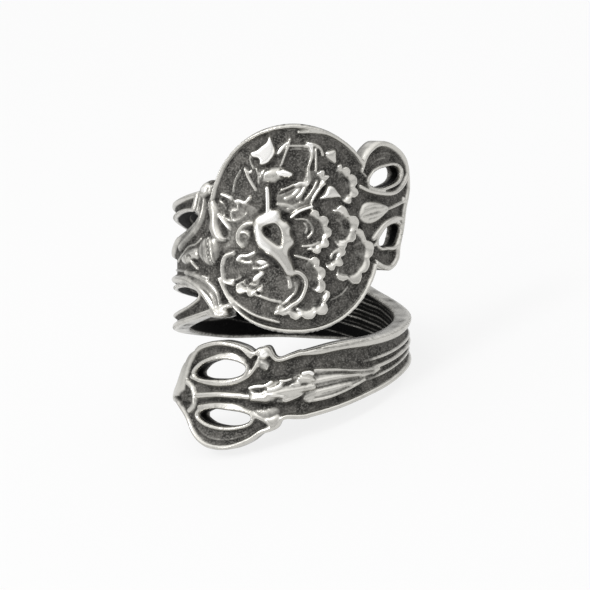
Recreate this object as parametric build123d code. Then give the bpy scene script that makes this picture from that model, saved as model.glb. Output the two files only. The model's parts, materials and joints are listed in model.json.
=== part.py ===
from build123d import *
from build123d.topology import shape_core
import math
import os

# Spoon ring: the handle of a spoon with pierced ends, wound one and a half turns round the
# finger. One casting, so one solid. Lengths are millimetres and angles degrees.
# In the ring's own frame the finger's axis is +Z and the front is -Y. An angle is counted
# from the front towards +X and grows along the strip, so 360 is the front on the second turn.

# Finger hole and wall
bore_diameter = 17.7
bore_slices = 8
ground_wall = 1.15          # metal under the sunk ground of the pattern
relief_height = 0.4         # raised edges and ribs above the ground

# Winding
rise_per_turn = 13.9
strip_lean = 12.0           # lean of the strip against the ring's plane
lower_tip_angle = -90.0
band_start_angle = -14.0
band_end_angle = 322.0
medallion_angle = 362.5
upper_tip_angle = 443.0

# Widths across the strip
shank_width = 4.0           # narrowest, at the right side
collar_width = 11.0         # pierced collar at the left side
lower_head_length = 14.2
lower_head_width = 9.4
upper_head_length = 11.0
upper_head_width = 11.1
edge_width = 0.5            # raised edge along every outline
rib_width = 0.34
lower_eye_start = 4.4       # eyes of the lower head, from its tip
lower_eye_length = 7.8
upper_eye_start = 2.6
upper_eye_length = 4.8
knob_diameter = 1.25
knob_sink = 0.35            # how far the knobs sit in from the outline

# Medallion
medallion_length = 16.6
medallion_width = 17.8
medallion_ground = 0.12     # the medallion's ground above the strip's
flower_height = 0.52        # highest petals above the ground
flower_depth = 0.36         # from the highest layer of petals down to the lowest
flower_layers = 4
petal_step = 0.08           # thin line above the medallion's ground
medallion_facets = 40
line_share = 0.86           # thin inner line, as a share of the medallion
heart_diameter = 2.8

# Bud, leaf and stalk on the strip's middle line
bud_length = 5.0
bud_width = 2.2
bud_rise = 0.1              # bud above the raised edges
leaf_length = 4.6
leaf_width = 2.1
leaf_place = 6.3            # leaf of the upper head, from the head's inner end
stalk_width = 0.5
cup_diameter = 1.9

# How the ring comes to rest on its side
rest_lean = 15.4            # the finger's axis leans back
rest_roll = 17.3            # and to the side

facet_angle = 8.0           # longest step round the finger along a wall

# Spine of the strip: share of a turn, height as a share of the rise per turn
SPINE = [
    (-0.30, -0.110), (-0.217, -0.058), (-0.148, -0.036), (-0.065, 0.019), (0.0, 0.054),
    (0.071, 0.127), (0.146, 0.195), (0.206, 0.258), (0.50, 0.520), (0.70, 0.695),
    (0.85, 0.838), (1.007, 1.021), (1.148, 1.154), (1.23, 1.235), (1.40, 1.410),
]

# Half width of the band: share of a turn, share of half the shank width towards the shank,
# share of half the collar width towards the collar
BAND = [
    (-0.04, 1.30, 0.00), (0.00, 1.43, 0.00), (0.06, 1.43, 0.00), (0.12, 1.22, 0.00),
    (0.20, 1.04, 0.00), (0.30, 0.98, 0.00), (0.36, 0.98, 0.04), (0.40, 0.90, 0.16),
    (0.46, 0.60, 0.40), (0.52, 0.30, 0.62), (0.60, 0.10, 0.86), (0.67, 0.00, 0.96),
    (0.75, 0.00, 1.00), (0.83, 0.00, 1.00), (0.90, 0.00, 0.97),
]

# Ribs along the band, as shares of its half width
RIBS = (-0.55, -0.12, 0.27)

# Half outline of the ring's two ends: share of the head's length from its tip, share of half
# its width
HEAD = [
    (0.00, 0.00), (0.04, 0.17), (0.16, 0.33), (0.25, 0.57), (0.35, 0.83), (0.50, 0.98),
    (0.62, 1.00), (0.76, 0.96), (0.88, 0.86), (1.00, 0.70),
]

# Half outline of the upper end, which is rounder and half hidden by the medallion
UPPER_HEAD = [
    (0.00, 0.00), (0.04, 0.22), (0.12, 0.44), (0.24, 0.70), (0.38, 0.90), (0.52, 1.00),
    (0.66, 0.97), (0.80, 0.84), (0.92, 0.66), (1.00, 0.55),
]

# Pierced eye of a head: share of the eye's length, share of half the head's width
EYE = [
    (0.00, 0.40), (0.16, 0.57), (0.44, 0.64), (0.75, 0.61), (1.00, 0.46),
    (0.82, 0.30), (0.53, 0.23), (0.20, 0.27),
]

# Pierced eye of the collar: share of a turn, share of half the collar width
COLLAR_EYE = [
    (0.580, 0.42), (0.63, 0.60), (0.70, 0.72), (0.78, 0.75), (0.83, 0.73), (0.857, 0.62),
    (0.83, 0.46), (0.78, 0.38), (0.71, 0.35), (0.63, 0.35),
]

# Petals on the medallion, lowest first: place of the root along and across as shares of half
# the medallion, aim in degrees, reach as a share of half its width, opening and lobes
PETALS = [
    (0.19, -0.17, -35, 0.58, 65, 5),
    (0.06, 0.11, 27, 0.68, 50, 5),
    (-0.06, -0.40, 275, 0.46, 52, 4),
    (-0.42, 0.10, 175, 0.45, 62, 3),
    (-0.36, -0.15, 205, 0.50, 60, 4),
    (0.06, 0.33, 60, 0.46, 50, 2),
    (-0.12, 0.50, 100, 0.40, 52, 3),
    (-0.12, -0.03, -2, 0.65, 44, 5),
    (-0.36, 0.22, 150, 0.50, 50, 4),
    (-0.36, 0.28, 112, 0.38, 36, 1),
    (-0.24, -0.23, 250, 0.50, 50, 2),
    (0.06, -0.06, -45, 0.45, 50, 3),
    (-0.06, 0.16, 40, 0.52, 42, 3),
    (-0.10, -0.15, 300, 0.48, 40, 2),
    (-0.08, 0.36, 85, 0.25, 95, 3),
    (-0.12, 0.01, 5, 0.42, 72, 5),
    (-0.20, -0.17, 275, 0.48, 42, 2),
]
HEART = (-0.24, 0.04)

bore_radius = bore_diameter / 2
ground_radius = bore_radius + ground_wall
edge_radius = ground_radius + relief_height
skin_radius = bore_radius - ground_wall / 4
near_reach = bore_radius * 0.92     # where a radial cutter starts
far_reach = edge_radius * 1.08      # and ends
tall = 4 * rise_per_turn


def blend(table, where, column=1):
    """Read a table between its rows, with the slope eased from row to row."""
    rows = [row for row in table]
    if where <= rows[0][0]:
        return rows[0][column]
    for index in range(len(rows) - 1):
        left, right = rows[index], rows[index + 1]
        if where > right[0]:
            continue
        before = rows[max(index - 1, 0)]
        after = rows[min(index + 2, len(rows) - 1)]
        span = right[0] - left[0]
        share = (where - left[0]) / span
        slope_left = (right[column] - before[column]) / (right[0] - before[0])
        slope_right = (after[column] - left[column]) / (after[0] - left[0])
        return (
            left[column] * (2 * share ** 3 - 3 * share ** 2 + 1)
            + right[column] * (3 * share ** 2 - 2 * share ** 3)
            + slope_left * span * (share ** 3 - 2 * share ** 2 + share)
            + slope_right * span * (share ** 3 - share ** 2)
        )
    return rows[-1][column]


def spine(angle):
    """Height of the strip's middle line, zero at the front of the first turn."""
    return rise_per_turn * blend(SPINE, angle / 360)


def half_band(angle):
    turn = angle / 360
    return shank_width / 2 * blend(BAND, turn, 1) + collar_width / 2 * blend(BAND, turn, 2)


def on_strip(angle, along, across):
    """Angle and height of a point given along and across the leaning strip at an angle."""
    lean = math.radians(strip_lean)
    round_by = along * math.cos(lean) - across * math.sin(lean)
    up_by = along * math.sin(lean) + across * math.cos(lean)
    return angle + math.degrees(round_by / edge_radius), spine(angle) + up_by


def along_spine(angle, along, across):
    """As on_strip, but the line along the strip follows its bent spine."""
    there = angle + math.degrees(along / edge_radius)
    return there, spine(there) + across


def wall(radius):
    """Wall round the finger, from just inside the bore out to a radius."""
    profile = Wire.make_polygon([
        (skin_radius, 0, -tall / 2), (radius, 0, -tall / 2),
        (radius, 0, tall / 2), (skin_radius, 0, tall / 2),
    ], close=True)
    return Solid.revolve(Face(profile), 360, Axis.Z)


def flat_block(outline):
    """Prism through a small closed outline, along the straight way out at its middle."""
    angles = [angle for angle, height in outline]
    middle = (min(angles) + max(angles)) / 2
    points = [
        Vector(edge_radius * math.sin(math.radians(angle - middle)), -near_reach, height)
        for angle, height in outline
    ]
    face = Face(Wire.make_polygon(points, close=True))
    block = Solid.extrude(face, Vector(0, near_reach - far_reach, 0))
    return block.rotate(Axis.Z, middle)


def joined(pieces):
    """One body from pieces that overlap, joined one after the other."""
    body = pieces[0]
    for piece in pieces[1:]:
        body = body.fuse(piece)
    return body


def smooth(points, steps=3):
    """Closed outline through the points, rounded from point to point."""
    count = len(points)
    rounded = []
    for index in range(count):
        before, start = points[index - 1], points[index]
        end, after = points[(index + 1) % count], points[(index + 2) % count]
        for step in range(steps):
            t = step / steps
            rounded.append(tuple(
                0.5 * (2 * start[k] + (end[k] - before[k]) * t
                       + (2 * before[k] - 5 * start[k] + 4 * end[k] - after[k]) * t ** 2
                       + (3 * start[k] - before[k] - 3 * end[k] + after[k]) * t ** 3)
                for k in (0, 1)
            ))
    return rounded


def at(radius, angle, height):
    """Point at a radius, an angle from the front and a height."""
    turn = math.radians(angle)
    return Vector(radius * math.sin(turn), -radius * math.cos(turn), height)


def radial_block(outline):
    """Solid whose side walls run straight out from the axis through a closed outline."""
    angles = [angle for angle, height in outline]
    heights = [height for angle, height in outline]
    middle = (min(angles) + max(angles)) / 2
    centre = (min(heights) + max(heights)) / 2
    inner = [at(near_reach, angle, height) for angle, height in outline]
    outer = [at(far_reach, angle, height) for angle, height in outline]
    inner_peak = at(near_reach * 0.5, middle, centre)
    outer_peak = at(far_reach * 1.35, middle, centre)
    faces = []
    for index in range(len(outline)):
        ahead = (index + 1) % len(outline)
        for corners in (
            (inner[index], inner[ahead], outer[ahead]),
            (inner[index], outer[ahead], outer[index]),
            (inner[ahead], inner[index], inner_peak),
            (outer[index], outer[ahead], outer_peak),
        ):
            faces.append(Face(Wire.make_polygon(corners, close=True)))
    return Solid(Shell(faces))


def grown(outline, distance):
    """The outline moved outwards by a distance, or inwards by a negative one."""
    scale = math.radians(1) * edge_radius
    points = [(angle * scale, height) for angle, height in outline]
    count = len(points)
    area = sum(
        points[i - 1][0] * points[i][1] - points[i][0] * points[i - 1][1] for i in range(count)
    )
    side = math.copysign(1, area)
    moved = []
    for i in range(count):
        back, ahead = points[i - 1], points[(i + 1) % count]
        run, rise = ahead[0] - back[0], ahead[1] - back[1]
        length = math.hypot(run, rise)
        moved.append((
            (points[i][0] + side * distance * rise / length) / scale,
            points[i][1] - side * distance * run / length,
        ))
    return moved


def ribbon(first, last, low, high):
    """Outline of a stretch of the band between two shares of its half width."""
    count = max(2, round((last - first) / facet_angle))
    angles = [first + (last - first) * index / count for index in range(count + 1)]
    lower = [(angle, spine(angle) + low(angle)) for angle in angles]
    upper = [(angle, spine(angle) + high(angle)) for angle in reversed(angles)]
    return lower + upper


def band():
    """The strip from behind the lower head, round the right side and back, to the collar."""
    pieces = []
    count = math.ceil((band_end_angle - band_start_angle) / 60)
    for index in range(count):
        first = band_start_angle + (band_end_angle - band_start_angle) * index / count
        last = band_start_angle + (band_end_angle - band_start_angle) * (index + 1) / count
        ground = ribbon(first, last, lambda at: -half_band(at), half_band)
        pieces.append(radial_block(ground) & wall(ground_radius))
        raised = [
            (lambda at: -half_band(at), lambda at: edge_width - half_band(at)),
            (lambda at: half_band(at) - edge_width, half_band),
        ]
        for share in RIBS:
            raised.append((
                lambda at, share=share: share * (half_band(at) - edge_width) - rib_width / 2,
                lambda at, share=share: share * (half_band(at) - edge_width) + rib_width / 2,
            ))
        for low, high in raised:
            pieces.append(radial_block(ribbon(first, last, low, high)) & wall(edge_radius))
    return pieces


def raised_edge(outline, width, radius):
    """Raised edge of a given width inside an outline, up to a radius."""
    return (radial_block(outline) - radial_block(grown(outline, -width))) & wall(radius)


def head_outline(tip_angle, towards, length, width, shape):
    """Closed outline of a ring end, from the half outline and its mirror image."""
    upper = [(share * length, half * width / 2) for share, half in shape]
    lower = [(along, -across) for along, across in reversed(upper[1:])]
    points = [along_spine(tip_angle, towards * along, across) for along, across in upper + lower]
    return smooth(points, 2)


def eye_outlines(tip_angle, towards, width, start, length):
    """The two pierced eyes of a ring end."""
    return [
        smooth([
            along_spine(tip_angle, towards * (start + share * length), side * half * width / 2)
            for share, half in EYE
        ], 2)
        for side in (1, -1)
    ]


def collar_eyes():
    """Long eyes of the collar, which reach from the knobs round to the back."""
    return [
        smooth([
            (share * 360, spine(share * 360) + side * half * collar_width / 2)
            for share, half in COLLAR_EYE
        ], 2)
        for side in (1, -1)
    ]


def ring_end(tip_angle, towards, length, width, shape):
    """A ring end before piercing: its ground, and an edge that is open towards the strip."""
    outline = head_outline(tip_angle, towards, length, width, shape)
    opened = shape[:-1] + [(shape[-1][0] * 1.2, shape[-1][1])]
    inside = grown(head_outline(tip_angle, towards, length, width, opened), -edge_width)
    block = radial_block(outline)
    return [
        block & wall(ground_radius),
        (block - radial_block(inside)) & wall(edge_radius),
    ]


def eye_rims(eyes):
    """Raised rims round pierced eyes, before the eyes are cut."""
    return [radial_block(grown(eye, edge_width)) & wall(edge_radius) for eye in eyes]


def ellipse(length, width):
    """Outline of the medallion or of a ring on it, about the medallion's centre."""
    outline = []
    for index in range(medallion_facets):
        turn = 2 * math.pi * index / medallion_facets
        outline.append(on_strip(
            medallion_angle, length / 2 * math.cos(turn), width / 2 * math.sin(turn)
        ))
    return outline


def fan(along, across, aim, reach, spread, lobes):
    """Scalloped petal: a point on the medallion, its aim, its reach and how wide it opens."""
    base_x = along * medallion_length / 2
    base_y = across * medallion_width / 2
    size = reach * medallion_width / 2
    points = [(base_x, base_y)]
    for index in range(4 * lobes + 1):
        turn = math.radians(aim + spread * (index / (4 * lobes) - 0.5))
        notch = (0.84, 0.96, 1.0, 0.96)[index % 4]
        points.append((
            base_x + notch * size * math.cos(turn), base_y + notch * size * math.sin(turn)
        ))
    return [on_strip(medallion_angle, x, y) for x, y in points]


def disc(place, diameter):
    """Outline of a small round pad about a place on the strip."""
    angle, height = place
    corners = [math.radians(30 * index) for index in range(12)]
    return [
        (angle + math.degrees(diameter / 2 * math.cos(turn) / edge_radius),
         height + diameter / 2 * math.sin(turn))
        for turn in corners
    ]


def grain(place, length, width, top_radius, lean=0.0):
    """Rounded grain lying on the surface, with its long way turned by the lean."""
    angle, height = place
    arc = Edge.make_ellipse(length / 2, width / 2, Plane.XY, 0, 180)
    chord = Edge.make_line(arc.position_at(1), arc.position_at(0))
    solid = Solid.revolve(Face(Wire([arc, chord])), 360, Axis.X)
    solid = solid.rotate(Axis.Y, -lean)
    solid = solid.translate((0, width / 2 - top_radius, height))
    return solid.rotate(Axis.Z, angle)


def medallion():
    """Round shield on the front of the upper turn, with its rim and a thin inner line."""
    outline = ellipse(medallion_length, medallion_width)
    line = ellipse(medallion_length * line_share, medallion_width * line_share)
    ground = ground_radius + medallion_ground
    return [
        radial_block(outline) & wall(ground),
        raised_edge(outline, edge_width, edge_radius),
        raised_edge(line, rib_width / 2, ground + petal_step),
    ]


def flower():
    """Scalloped petals laid over each other round a ringed heart."""
    pieces = []
    top = ground_radius + flower_height
    for index, petal in enumerate(PETALS):
        layer = index * flower_layers // len(PETALS) + 1
        below = flower_depth * (1 - layer / flower_layers)
        pieces.append(flat_block(fan(*petal)) & wall(top - below))
    along, across = HEART
    angle, height = on_strip(
        medallion_angle, along * medallion_length / 2, across * medallion_width / 2
    )
    stud = Solid.make_cylinder(
        heart_diameter / 2, top - bore_radius, Plane((0, -bore_radius, height), z_dir=(0, -1, 0))
    )
    pit = Solid.make_cylinder(
        heart_diameter / 4, relief_height, Plane((0, -ground_radius, height), z_dir=(0, -1, 0))
    )
    pieces.append((stud - pit).rotate(Axis.Z, angle))
    return pieces


def stalk(first, last, radius):
    """Thin raised line along the strip's middle between two angles, thicker at its end."""
    return radial_block(ribbon(
        first, last, lambda where: -stalk_width / 2, lambda where: stalk_width / 2
    )) & wall(radius)


def middle_line():
    """Bud, leaves, stalks, knobs and the cup along the strip's middle line and edges."""
    top = edge_radius
    per_mm = math.degrees(1 / edge_radius)
    lower_neck = lower_tip_angle + lower_head_length * per_mm
    upper_neck = upper_tip_angle - upper_head_length * per_mm
    pieces = []
    bud = along_spine(lower_neck, bud_length * 0.45, 0)
    leaves = along_spine(lower_neck, bud_length * 1.1, 0)
    pieces.append(grain(bud, bud_length, bud_width, top + bud_rise, strip_lean / 2))
    pieces.append(grain(leaves, leaf_length, leaf_width, top, strip_lean))
    cup = along_spine(lower_tip_angle, 0.2 * lower_head_length, 0)
    pieces.append(grain(cup, cup_diameter, cup_diameter, top - relief_height / 4))
    pieces.append(stalk(lower_tip_angle + 0.25 * lower_head_length * per_mm, lower_neck, top))
    collar_bud = along_spine(band_end_angle - 6, 0, 0)
    pieces.append(grain(collar_bud, bud_length, bud_width, top + bud_rise, strip_lean))
    leaf = along_spine(upper_neck, leaf_place, 0)
    pieces.append(grain(leaf, leaf_length, leaf_width, top, strip_lean))
    pieces.append(stalk(leaf[0], upper_tip_angle - stalk_width * 4 * per_mm, top))
    for side in (1, -1):
        for neck, half in (
            (lower_neck - 4, HEAD[-1][1] * lower_head_width / 2),
            (band_end_angle - 4, half_band(band_end_angle - 4)),
        ):
            knob = along_spine(neck, 0, side * (half - knob_sink))
            pieces.append(radial_block(disc(knob, knob_diameter)) & wall(ground_radius))
            pieces.append(grain(knob, knob_diameter, knob_diameter, top))
    return pieces


def finger_hole():
    """The finger hole as pie slices, so that the wall keeps one face for each slice."""
    slices = []
    for index in range(bore_slices):
        piece = Solid.make_cylinder(bore_radius, tall, Plane.XY.offset(-tall / 2),
                                    360 / bore_slices)
        slices.append(piece.rotate(Axis.Z, index * 360 / bore_slices))
    return slices


def spoon_ring():
    """The whole casting in the ring's own frame."""
    lower_width, upper_width = lower_head_width, upper_head_width
    pieces = ring_end(lower_tip_angle, 1, lower_head_length, lower_width, HEAD)
    pieces += ring_end(upper_tip_angle, -1, upper_head_length, upper_width, UPPER_HEAD)
    eyes = collar_eyes()
    eyes += eye_outlines(lower_tip_angle, 1, lower_width, lower_eye_start, lower_eye_length)
    eyes += eye_outlines(upper_tip_angle, -1, upper_width, upper_eye_start, upper_eye_length)
    strip = band()
    shield = radial_block(ellipse(medallion_length, medallion_width))
    body = joined([strip[0].fuse(*strip[1:])] + pieces) - shield
    body = joined([body, joined(medallion() + [joined(flower())])])
    body = joined([body] + eye_rims(eyes) + middle_line())
    body = body.cut(*[radial_block(eye) for eye in eyes])
    return body.cut(*finger_hole())


def at_rest(body):
    """The ring lying on its side on the floor, over the origin, and where its hole went."""
    turned = body.rotate(Axis.X, -rest_lean).rotate(Axis.Y, rest_roll)
    box = turned.bounding_box()
    shift = Vector(
        -(box.min.X + box.max.X) / 2, -(box.min.Y + box.max.Y) / 2, -box.min.Z
    )
    return turned.translate(shift), shift


def main():
    os.makedirs("parts", exist_ok=True)
    ring = spoon_ring()
    span = ring.bounding_box()
    placed, shift = at_rest(ring)
    print("valid", placed.is_valid, "volume", round(placed.volume, 2))
    print("hole from", round(span.min.Z, 3), "to", round(span.max.Z, 3), "along its axis")
    print("moved by", round(shift.X, 4), round(shift.Y, 4), round(shift.Z, 4))
    export_step(Compound(placed.solids()), "parts/spoon_ring.step")


shape_core.SkipClean.clean = False  # the wall keeps one face for each slice of the finger hole
main()
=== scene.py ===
import json
import math

import bpy
import numpy as np
from mathutils import Matrix, Vector


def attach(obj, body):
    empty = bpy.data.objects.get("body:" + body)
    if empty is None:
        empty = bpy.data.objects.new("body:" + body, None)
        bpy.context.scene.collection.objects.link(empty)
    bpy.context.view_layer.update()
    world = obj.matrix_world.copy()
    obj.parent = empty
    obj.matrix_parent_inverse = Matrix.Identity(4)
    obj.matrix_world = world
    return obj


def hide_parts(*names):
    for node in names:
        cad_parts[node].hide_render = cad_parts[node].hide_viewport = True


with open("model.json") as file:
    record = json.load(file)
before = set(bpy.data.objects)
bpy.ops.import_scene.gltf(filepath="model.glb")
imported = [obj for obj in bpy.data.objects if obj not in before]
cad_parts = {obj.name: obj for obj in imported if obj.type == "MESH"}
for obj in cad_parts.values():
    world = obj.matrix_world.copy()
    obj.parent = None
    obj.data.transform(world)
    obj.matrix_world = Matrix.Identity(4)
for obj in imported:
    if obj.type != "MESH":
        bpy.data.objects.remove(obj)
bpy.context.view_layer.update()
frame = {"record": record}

# A spoon ring: the handle of a spoon, cast flat with its ornament and bent round a finger.
# The ring is worked flat here too, in millimetres: u runs along the handle and v across the
# finger's way, and heights stand on the finger side. A Geometry Nodes tree then bends each
# stretch round the finger. Ornament is placed on two leaning sheets, a lower and an upper one,
# by how far along and across the handle it lies.

# Driving sizes
hole = frame["record"]["mounts"][0]
bore_radius = hole["dims"]["r_mm"]
unit = bore_radius / 8.85          # every size below is for this finger, and grows with the hole
ground = 1.15 * unit               # metal under the sunk ground of the pattern
relief = 0.42 * unit               # raised edges above the ground
outer_radius = bore_radius + ground + relief
turn = 2 * math.pi * outer_radius  # one turn of the handle round the finger
rise_per_turn = 13.9 * unit
hole_middle = 8.85 * unit          # middle of the hole above the start of the handle's line
lean = math.radians(12.0)
shank_width = 4.0 * unit
collar_width = 11.0 * unit
edge_width = 0.5 * unit            # raised rail along an edge
lower_eye_rail, collar_eye_rail, upper_eye_rail = 0.42 * unit, 0.36 * unit, 0.32 * unit
medallion_place = (0.5, 0.55)
medallion_size = (8.3, 8.9)        # half length and half width
medallion_step = 0.12 * unit       # the medallion's ground above the strip's
medallion_depth = 3.0 * unit       # how far in the medallion clears what lies under it
medallion_rail = 0.46 * unit
medallion_swell = 0.045            # share that it swells by at its lower left
swell_aim, swell_reach = math.radians(222), math.radians(22)
petal_bite = 0.42 * unit           # depth of the notches between a petal's lobes
petal_rim = 0.32 * unit            # bright rim of a petal at its notches
petal_bead = 0.2                   # height of that rim

# Mesh
cell = 0.085 * unit                # mesh of the worked face
corner = 0.24 * unit               # rounding of the outer corners
inner_corner = 0.15 * unit
line_steps = 4                     # straight pieces between two given points
wall_rings = (0.7, 0.35)           # rings of points up a wall, as shares of its height
outline_margin = 0.3 * unit        # window of the mesh kept round an outline
far_off = 9.0                      # a distance beyond the reach of any rail or eye
softening = 0.055 * unit           # softening of the cast forms
petal_steps = 12                   # straight pieces along a lobe of a petal

# Where the ring is cut into its four stretches, and where the two leaning sheets start
shank_start, collar_start, upper_start = 0.27 * turn, 0.60 * turn, 0.83 * turn
LOWER = (0.0, -0.35 * unit)
UPPER = (turn, 13.55 * unit)

# Rubbing runs from 0, dark, over 1, bright, to 1.3; above 1 it is a painted highlight that shines like a
# mirror
painted_highlight_top = 1.3
# Rubbing on what stands out is wear; it also paints soft shade from a crest down its flanks
high_rubbing = 0.32                # more rubbing on what stands out, less in hollows
low_rubbing = 0.25
wall_rubbing = 0.68
# Hollows hold dark patina, deepened with painted shade beside tall forms
deepest_patina_and_shade = 0.74
# Walls of the pierced eyes are painted dark as shade
shaded_eye_rubbing = 0.1                  # walls of the pierced eyes stay dark

# Line of the handle's middle: share of a turn, height as a share of the rise per turn
MIDDLE_LINE = [
    (-0.3, -0.11), (-0.217, -0.058), (-0.148, -0.036), (-0.065, 0.019), (0, 0.054), (0.071, 0.127),
    (0.146, 0.195), (0.206, 0.258), (0.5, 0.52), (0.7, 0.695), (0.85, 0.838), (1.007, 1.021),
    (1.148, 1.154), (1.23, 1.235), (1.4, 1.41),
]

# Half width of the band: share of a turn, share of half the shank, share of half the collar
BAND = [
    (-0.04, 1.3, 0), (0, 1.43, 0), (0.06, 1.43, 0), (0.12, 1.22, 0), (0.2, 1.04, 0), (0.3, 0.98, 0),
    (0.36, 0.98, 0.04), (0.4, 0.9, 0.16), (0.46, 0.6, 0.4), (0.52, 0.3, 0.62), (0.6, 0.1, 0.86),
    (0.67, 0, 0.96), (0.75, 0, 1), (0.83, 0, 1), (0.9, 0, 0.97),
]

# Ribs of the shank: place as a share of half its width, width, height
RIBS = [(0.27, 0.34, 0.3), (-0.12, 0.42, 0.36), (-0.55, 0.3, 0.28)]

# Scratches along the finger side: place across the band as a multiple of their spacing, strength
scratch_spacing, scratch_width = 0.86, 0.07
SCRATCHES = [
    (-1.5, 0.7), (-1.1, 0.35), (-0.55, 0.8), (-0.1, 0.4), (0.35, 0.75), (0.8, 0.3), (1.25, 0.9),
    (1.7, 0.4), (2.6, 0.5), (-2.7, 0.5), (-3.8, 0.4), (3.7, 0.5),
]

# Outlines of the parts that stand out beside the band, and of the pierced eyes. Those of the
# collar's eyes are given as a share of a turn and a share of half the collar's width.
LOWER_HEAD = [
    (2.8, 2.4), (2, 3.84), (0.8, 3.88), (-0.5, 3.8), (-1, 4.85), (-1.9, 4.95), (-2.5, 4.75), (-3.2, 5.3),
    (-4.5, 5.9), (-6, 6.25), (-8, 6.2), (-9.5, 5.8), (-11, 5), (-12.2, 4.2), (-13.2, 3.6), (-14.8, 3.1),
    (-16.2, 2.7), (-15.4, 2.2), (-13.8, 1.8), (-12.6, 1.1), (-11.6, 0.2), (-10.9, -1.05), (-10.2, -1.85),
    (-9.1, -2.55), (-7.5, -3), (-6, -3.08), (-4.4, -2.82), (-3.2, -2.35), (-2.3, -2.25), (-1.6, -2.05),
    (-1, -1.5), (0.3, -1.74), (1.4, -1.74), (2.4, -0.6),
]
LOWER_EYES = [
    [(-9.4, 3.9), (-8.2, 4.45), (-6.8, 4.6), (-5.4, 4.5), (-4.2, 4.1), (-3.5, 3.5), (-4, 2.95),
     (-5.4, 2.85), (-7, 3.05), (-8.6, 3.4)],
    [(-9.65, 0.3), (-8.8, 0.6), (-7.4, 0.55), (-6, 0.2), (-4.7, -0.2), (-3.95, -0.65), (-4.2, -1.1),
     (-5.3, -1.22), (-6.8, -1.05), (-8.5, -0.5)],
]
COLLAR_ENDS = [
    [(-8.6, 4.6), (-8.1, 5.6), (-7.4, 6.15), (-6.6, 6.1), (-6.1, 5.2), (-7.2, 4.2)],
    [(-9.4, -4.4), (-9.4, -5.15), (-8.6, -5.5), (-7.3, -5.6), (-7.05, -5.35), (-7.3, -4.8), (-7.7, -4.1)],
]
COLLAR_EYE = [
    (0.58, 0.42), (0.63, 0.6), (0.7, 0.72), (0.78, 0.75), (0.83, 0.73), (0.857, 0.62), (0.83, 0.46),
    (0.78, 0.38), (0.71, 0.35), (0.63, 0.35),
]
UPPER_HEAD = [
    (6.2, 3), (7.2, 4.2), (8, 5.3), (9, 5.85), (10, 6), (11.2, 5.65), (12.5, 4.95), (14, 3.8),
    (14.8, 2.7), (15.1, 1.5), (15, 0.5), (14.2, -0.2), (13.3, -0.9), (12.4, -2.3), (11.3, -3.6),
    (10.8, -4.6), (9.6, -5.2), (8.4, -4.95), (7.4, -4.3), (6.2, -3.2),
]
UPPER_EYES = [
    [(8.1, 2.7), (8.6, 3.4), (9.5, 3.65), (10.6, 3.6), (11.6, 3.45), (12.6, 3), (13, 2.4), (12.2, 2),
     (10.6, 1.95), (9.2, 2.1)],
    [(8.1, -2.4), (8.8, -1.8), (9.6, -1.45), (10.9, -1.5), (12, -2.1), (11.3, -2.9), (10.5, -3.3),
     (9.3, -3.1), (8.5, -2.95)],
]
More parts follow.
